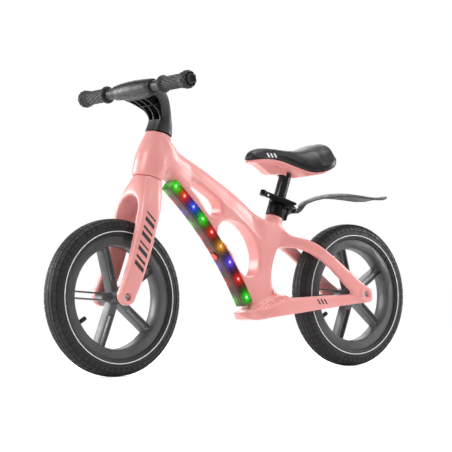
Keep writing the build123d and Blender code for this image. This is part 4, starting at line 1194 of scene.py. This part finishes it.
class BIKE_OT_stage(bpy.types.Operator):
    """Pale floor, soft lights and the camera"""
    bl_idname = "bike.stage"
    bl_label = "Stage"

    def execute(self, context):
        scene = context.scene
        scene.view_settings.view_transform = "Standard"
        data = bpy.data.cameras.new("camera")
        data.lens = CAMERA_LENS
        data.sensor_width = 36.0
        data.clip_start = 0.1
        data.clip_end = 50.0
        camera = bpy.data.objects.new("camera", data)
        a, e, roll = radians(CAMERA_AZIMUTH), radians(CAMERA_RISE), radians(CAMERA_ROLL)
        back = Vector((sin(a) * cos(e), -cos(a) * cos(e), sin(e)))
        right = (-back).cross(Vector((0, 0, 1))).normalized()
        up = right.cross(-back)
        x_axis = right * cos(roll) + up * sin(roll)
        y_axis = up * cos(roll) - right * sin(roll)
        turn = Matrix((x_axis, y_axis, back)).transposed().to_4x4()
        camera.matrix_world = Matrix.Translation(CAMERA_AT) @ turn
        scene.collection.objects.link(camera)
        scene.camera = camera

        bm = bmesh.new()
        bmesh.ops.create_circle(bm, cap_ends=True, segments=96, radius=6000)
        bmesh.ops.translate(bm, vec=(0, 0, -0.05), verts=bm.verts)
        floor = link("floor", bm)
        floor.data.materials.append(floor_paper())

        world = bpy.data.worlds.new("studio")
        scene.world = world
        world.use_nodes = True
        tree = world.node_tree
        seen = add(tree, "ShaderNodeLightPath").outputs["Is Camera Ray"]
        level = add(tree, "ShaderNodeMapRange", inputs={"Value": seen, "To Min": 0.2, "To Max": 1.0})
        tree.nodes["Background"].inputs["Color"].default_value = (1, 1, 1, 1)
        tree.links.new(level.outputs["Result"], tree.nodes["Background"].inputs["Strength"])
        middle = Vector((0.0, 0.0, 0.3))
        for name, spot, size, power in (
                ("key", (2.3, 0.2, 1.7), 1.0, 31), ("top", (-0.2, 0.2, 2.6), 1.4, 34),
                ("side", (-1.0, 2.2, 2.1), 0.8, 12), ("back", (-1.2, -1.8, 1.5), 1.6, 22),
                ("far", (1.25, -1.9, 0.8), 1.0, 36), ("rear", (-2.1, 0.7, 0.8), 0.9, 26)):
            data = bpy.data.lights.new(name, "AREA")
            data.shape = "SQUARE"
            data.size = size
            data.energy = power
            lamp = bpy.data.objects.new(name, data)
            lamp.location = spot
            lamp.rotation_mode = "QUATERNION"
            lamp.rotation_quaternion = (middle - Vector(spot)).to_track_quat("-Z", "Y")
            scene.collection.objects.link(lamp)
        return {"FINISHED"}


def floor_paper():
    """Seamless studio paper: matt white with a faint tooth."""
    material, tree, shader = plain("studio_paper", "#FAFAFA", 0.9, Specular_IOR_Level=0.1,
                                   Emission_Color=(1, 1, 1, 1))
    # painted light: emission seen only by the camera, dim near the bike and bright away from it, so that the
    # sheet runs out into white
    reach = add(tree, "ShaderNodeVectorMath", {"operation": "LENGTH"}, {0: place(tree)})
    lit = add(tree, "ShaderNodeMapRange", {"interpolation_type": "SMOOTHSTEP"}, {
        "Value": reach.outputs["Value"], "From Min": 0.42, "From Max": 0.62, "To Min": 0.45, "To Max": 1.2})
    seen = add(tree, "ShaderNodeLightPath").outputs["Is Camera Ray"]
    shown = add(tree, "ShaderNodeMath", {"operation": "MULTIPLY"}, {0: lit.outputs["Result"], 1: seen})
    tree.links.new(shown.outputs[0], shader.inputs["Emission Strength"])
    relief(tree, shader, speckle(tree, 4, 3.0), 0.05)
    return material


# ------------------------------------------------------------------ add-on
class BIKE_PT_panel(bpy.types.Panel):
    bl_label = "Balance Bike"
    bl_idname = "BIKE_PT_panel"
    bl_space_type = "VIEW_3D"
    bl_region_type = "UI"
    bl_category = "Balance Bike"

    def draw(self, context):
        for group in (context.scene.bike_sizes, context.scene.bike_colours):
            for key in group.__annotations__:
                self.layout.prop(group, key)
        for step in STEPS:
            self.layout.operator(step.bl_idname)


STEPS = (BIKE_OT_stage, BIKE_OT_frame, BIKE_OT_fork, BIKE_OT_wheels, BIKE_OT_handlebar, BIKE_OT_saddle,
         BIKE_OT_lights, BIKE_OT_clamp, BIKE_OT_mudguard, BIKE_OT_marks, BIKE_OT_finishes)
CLASSES = (BikeSizes, BikeColours, *STEPS, BIKE_PT_panel)


def register():
    for cls in CLASSES:
        bpy.utils.register_class(cls)
    bpy.types.Scene.bike_sizes = bpy.props.PointerProperty(type=BikeSizes)
    bpy.types.Scene.bike_colours = bpy.props.PointerProperty(type=BikeColours)


def unregister():
    del bpy.types.Scene.bike_sizes
    del bpy.types.Scene.bike_colours
    for cls in reversed(CLASSES):
        bpy.utils.unregister_class(cls)


def main():
    """Register the add-on and build every piece in order."""
    register()
    for step in STEPS:
        group, name = step.bl_idname.split(".")
        getattr(getattr(bpy.ops, group), name)()


if __name__ == "__main__":
    main()
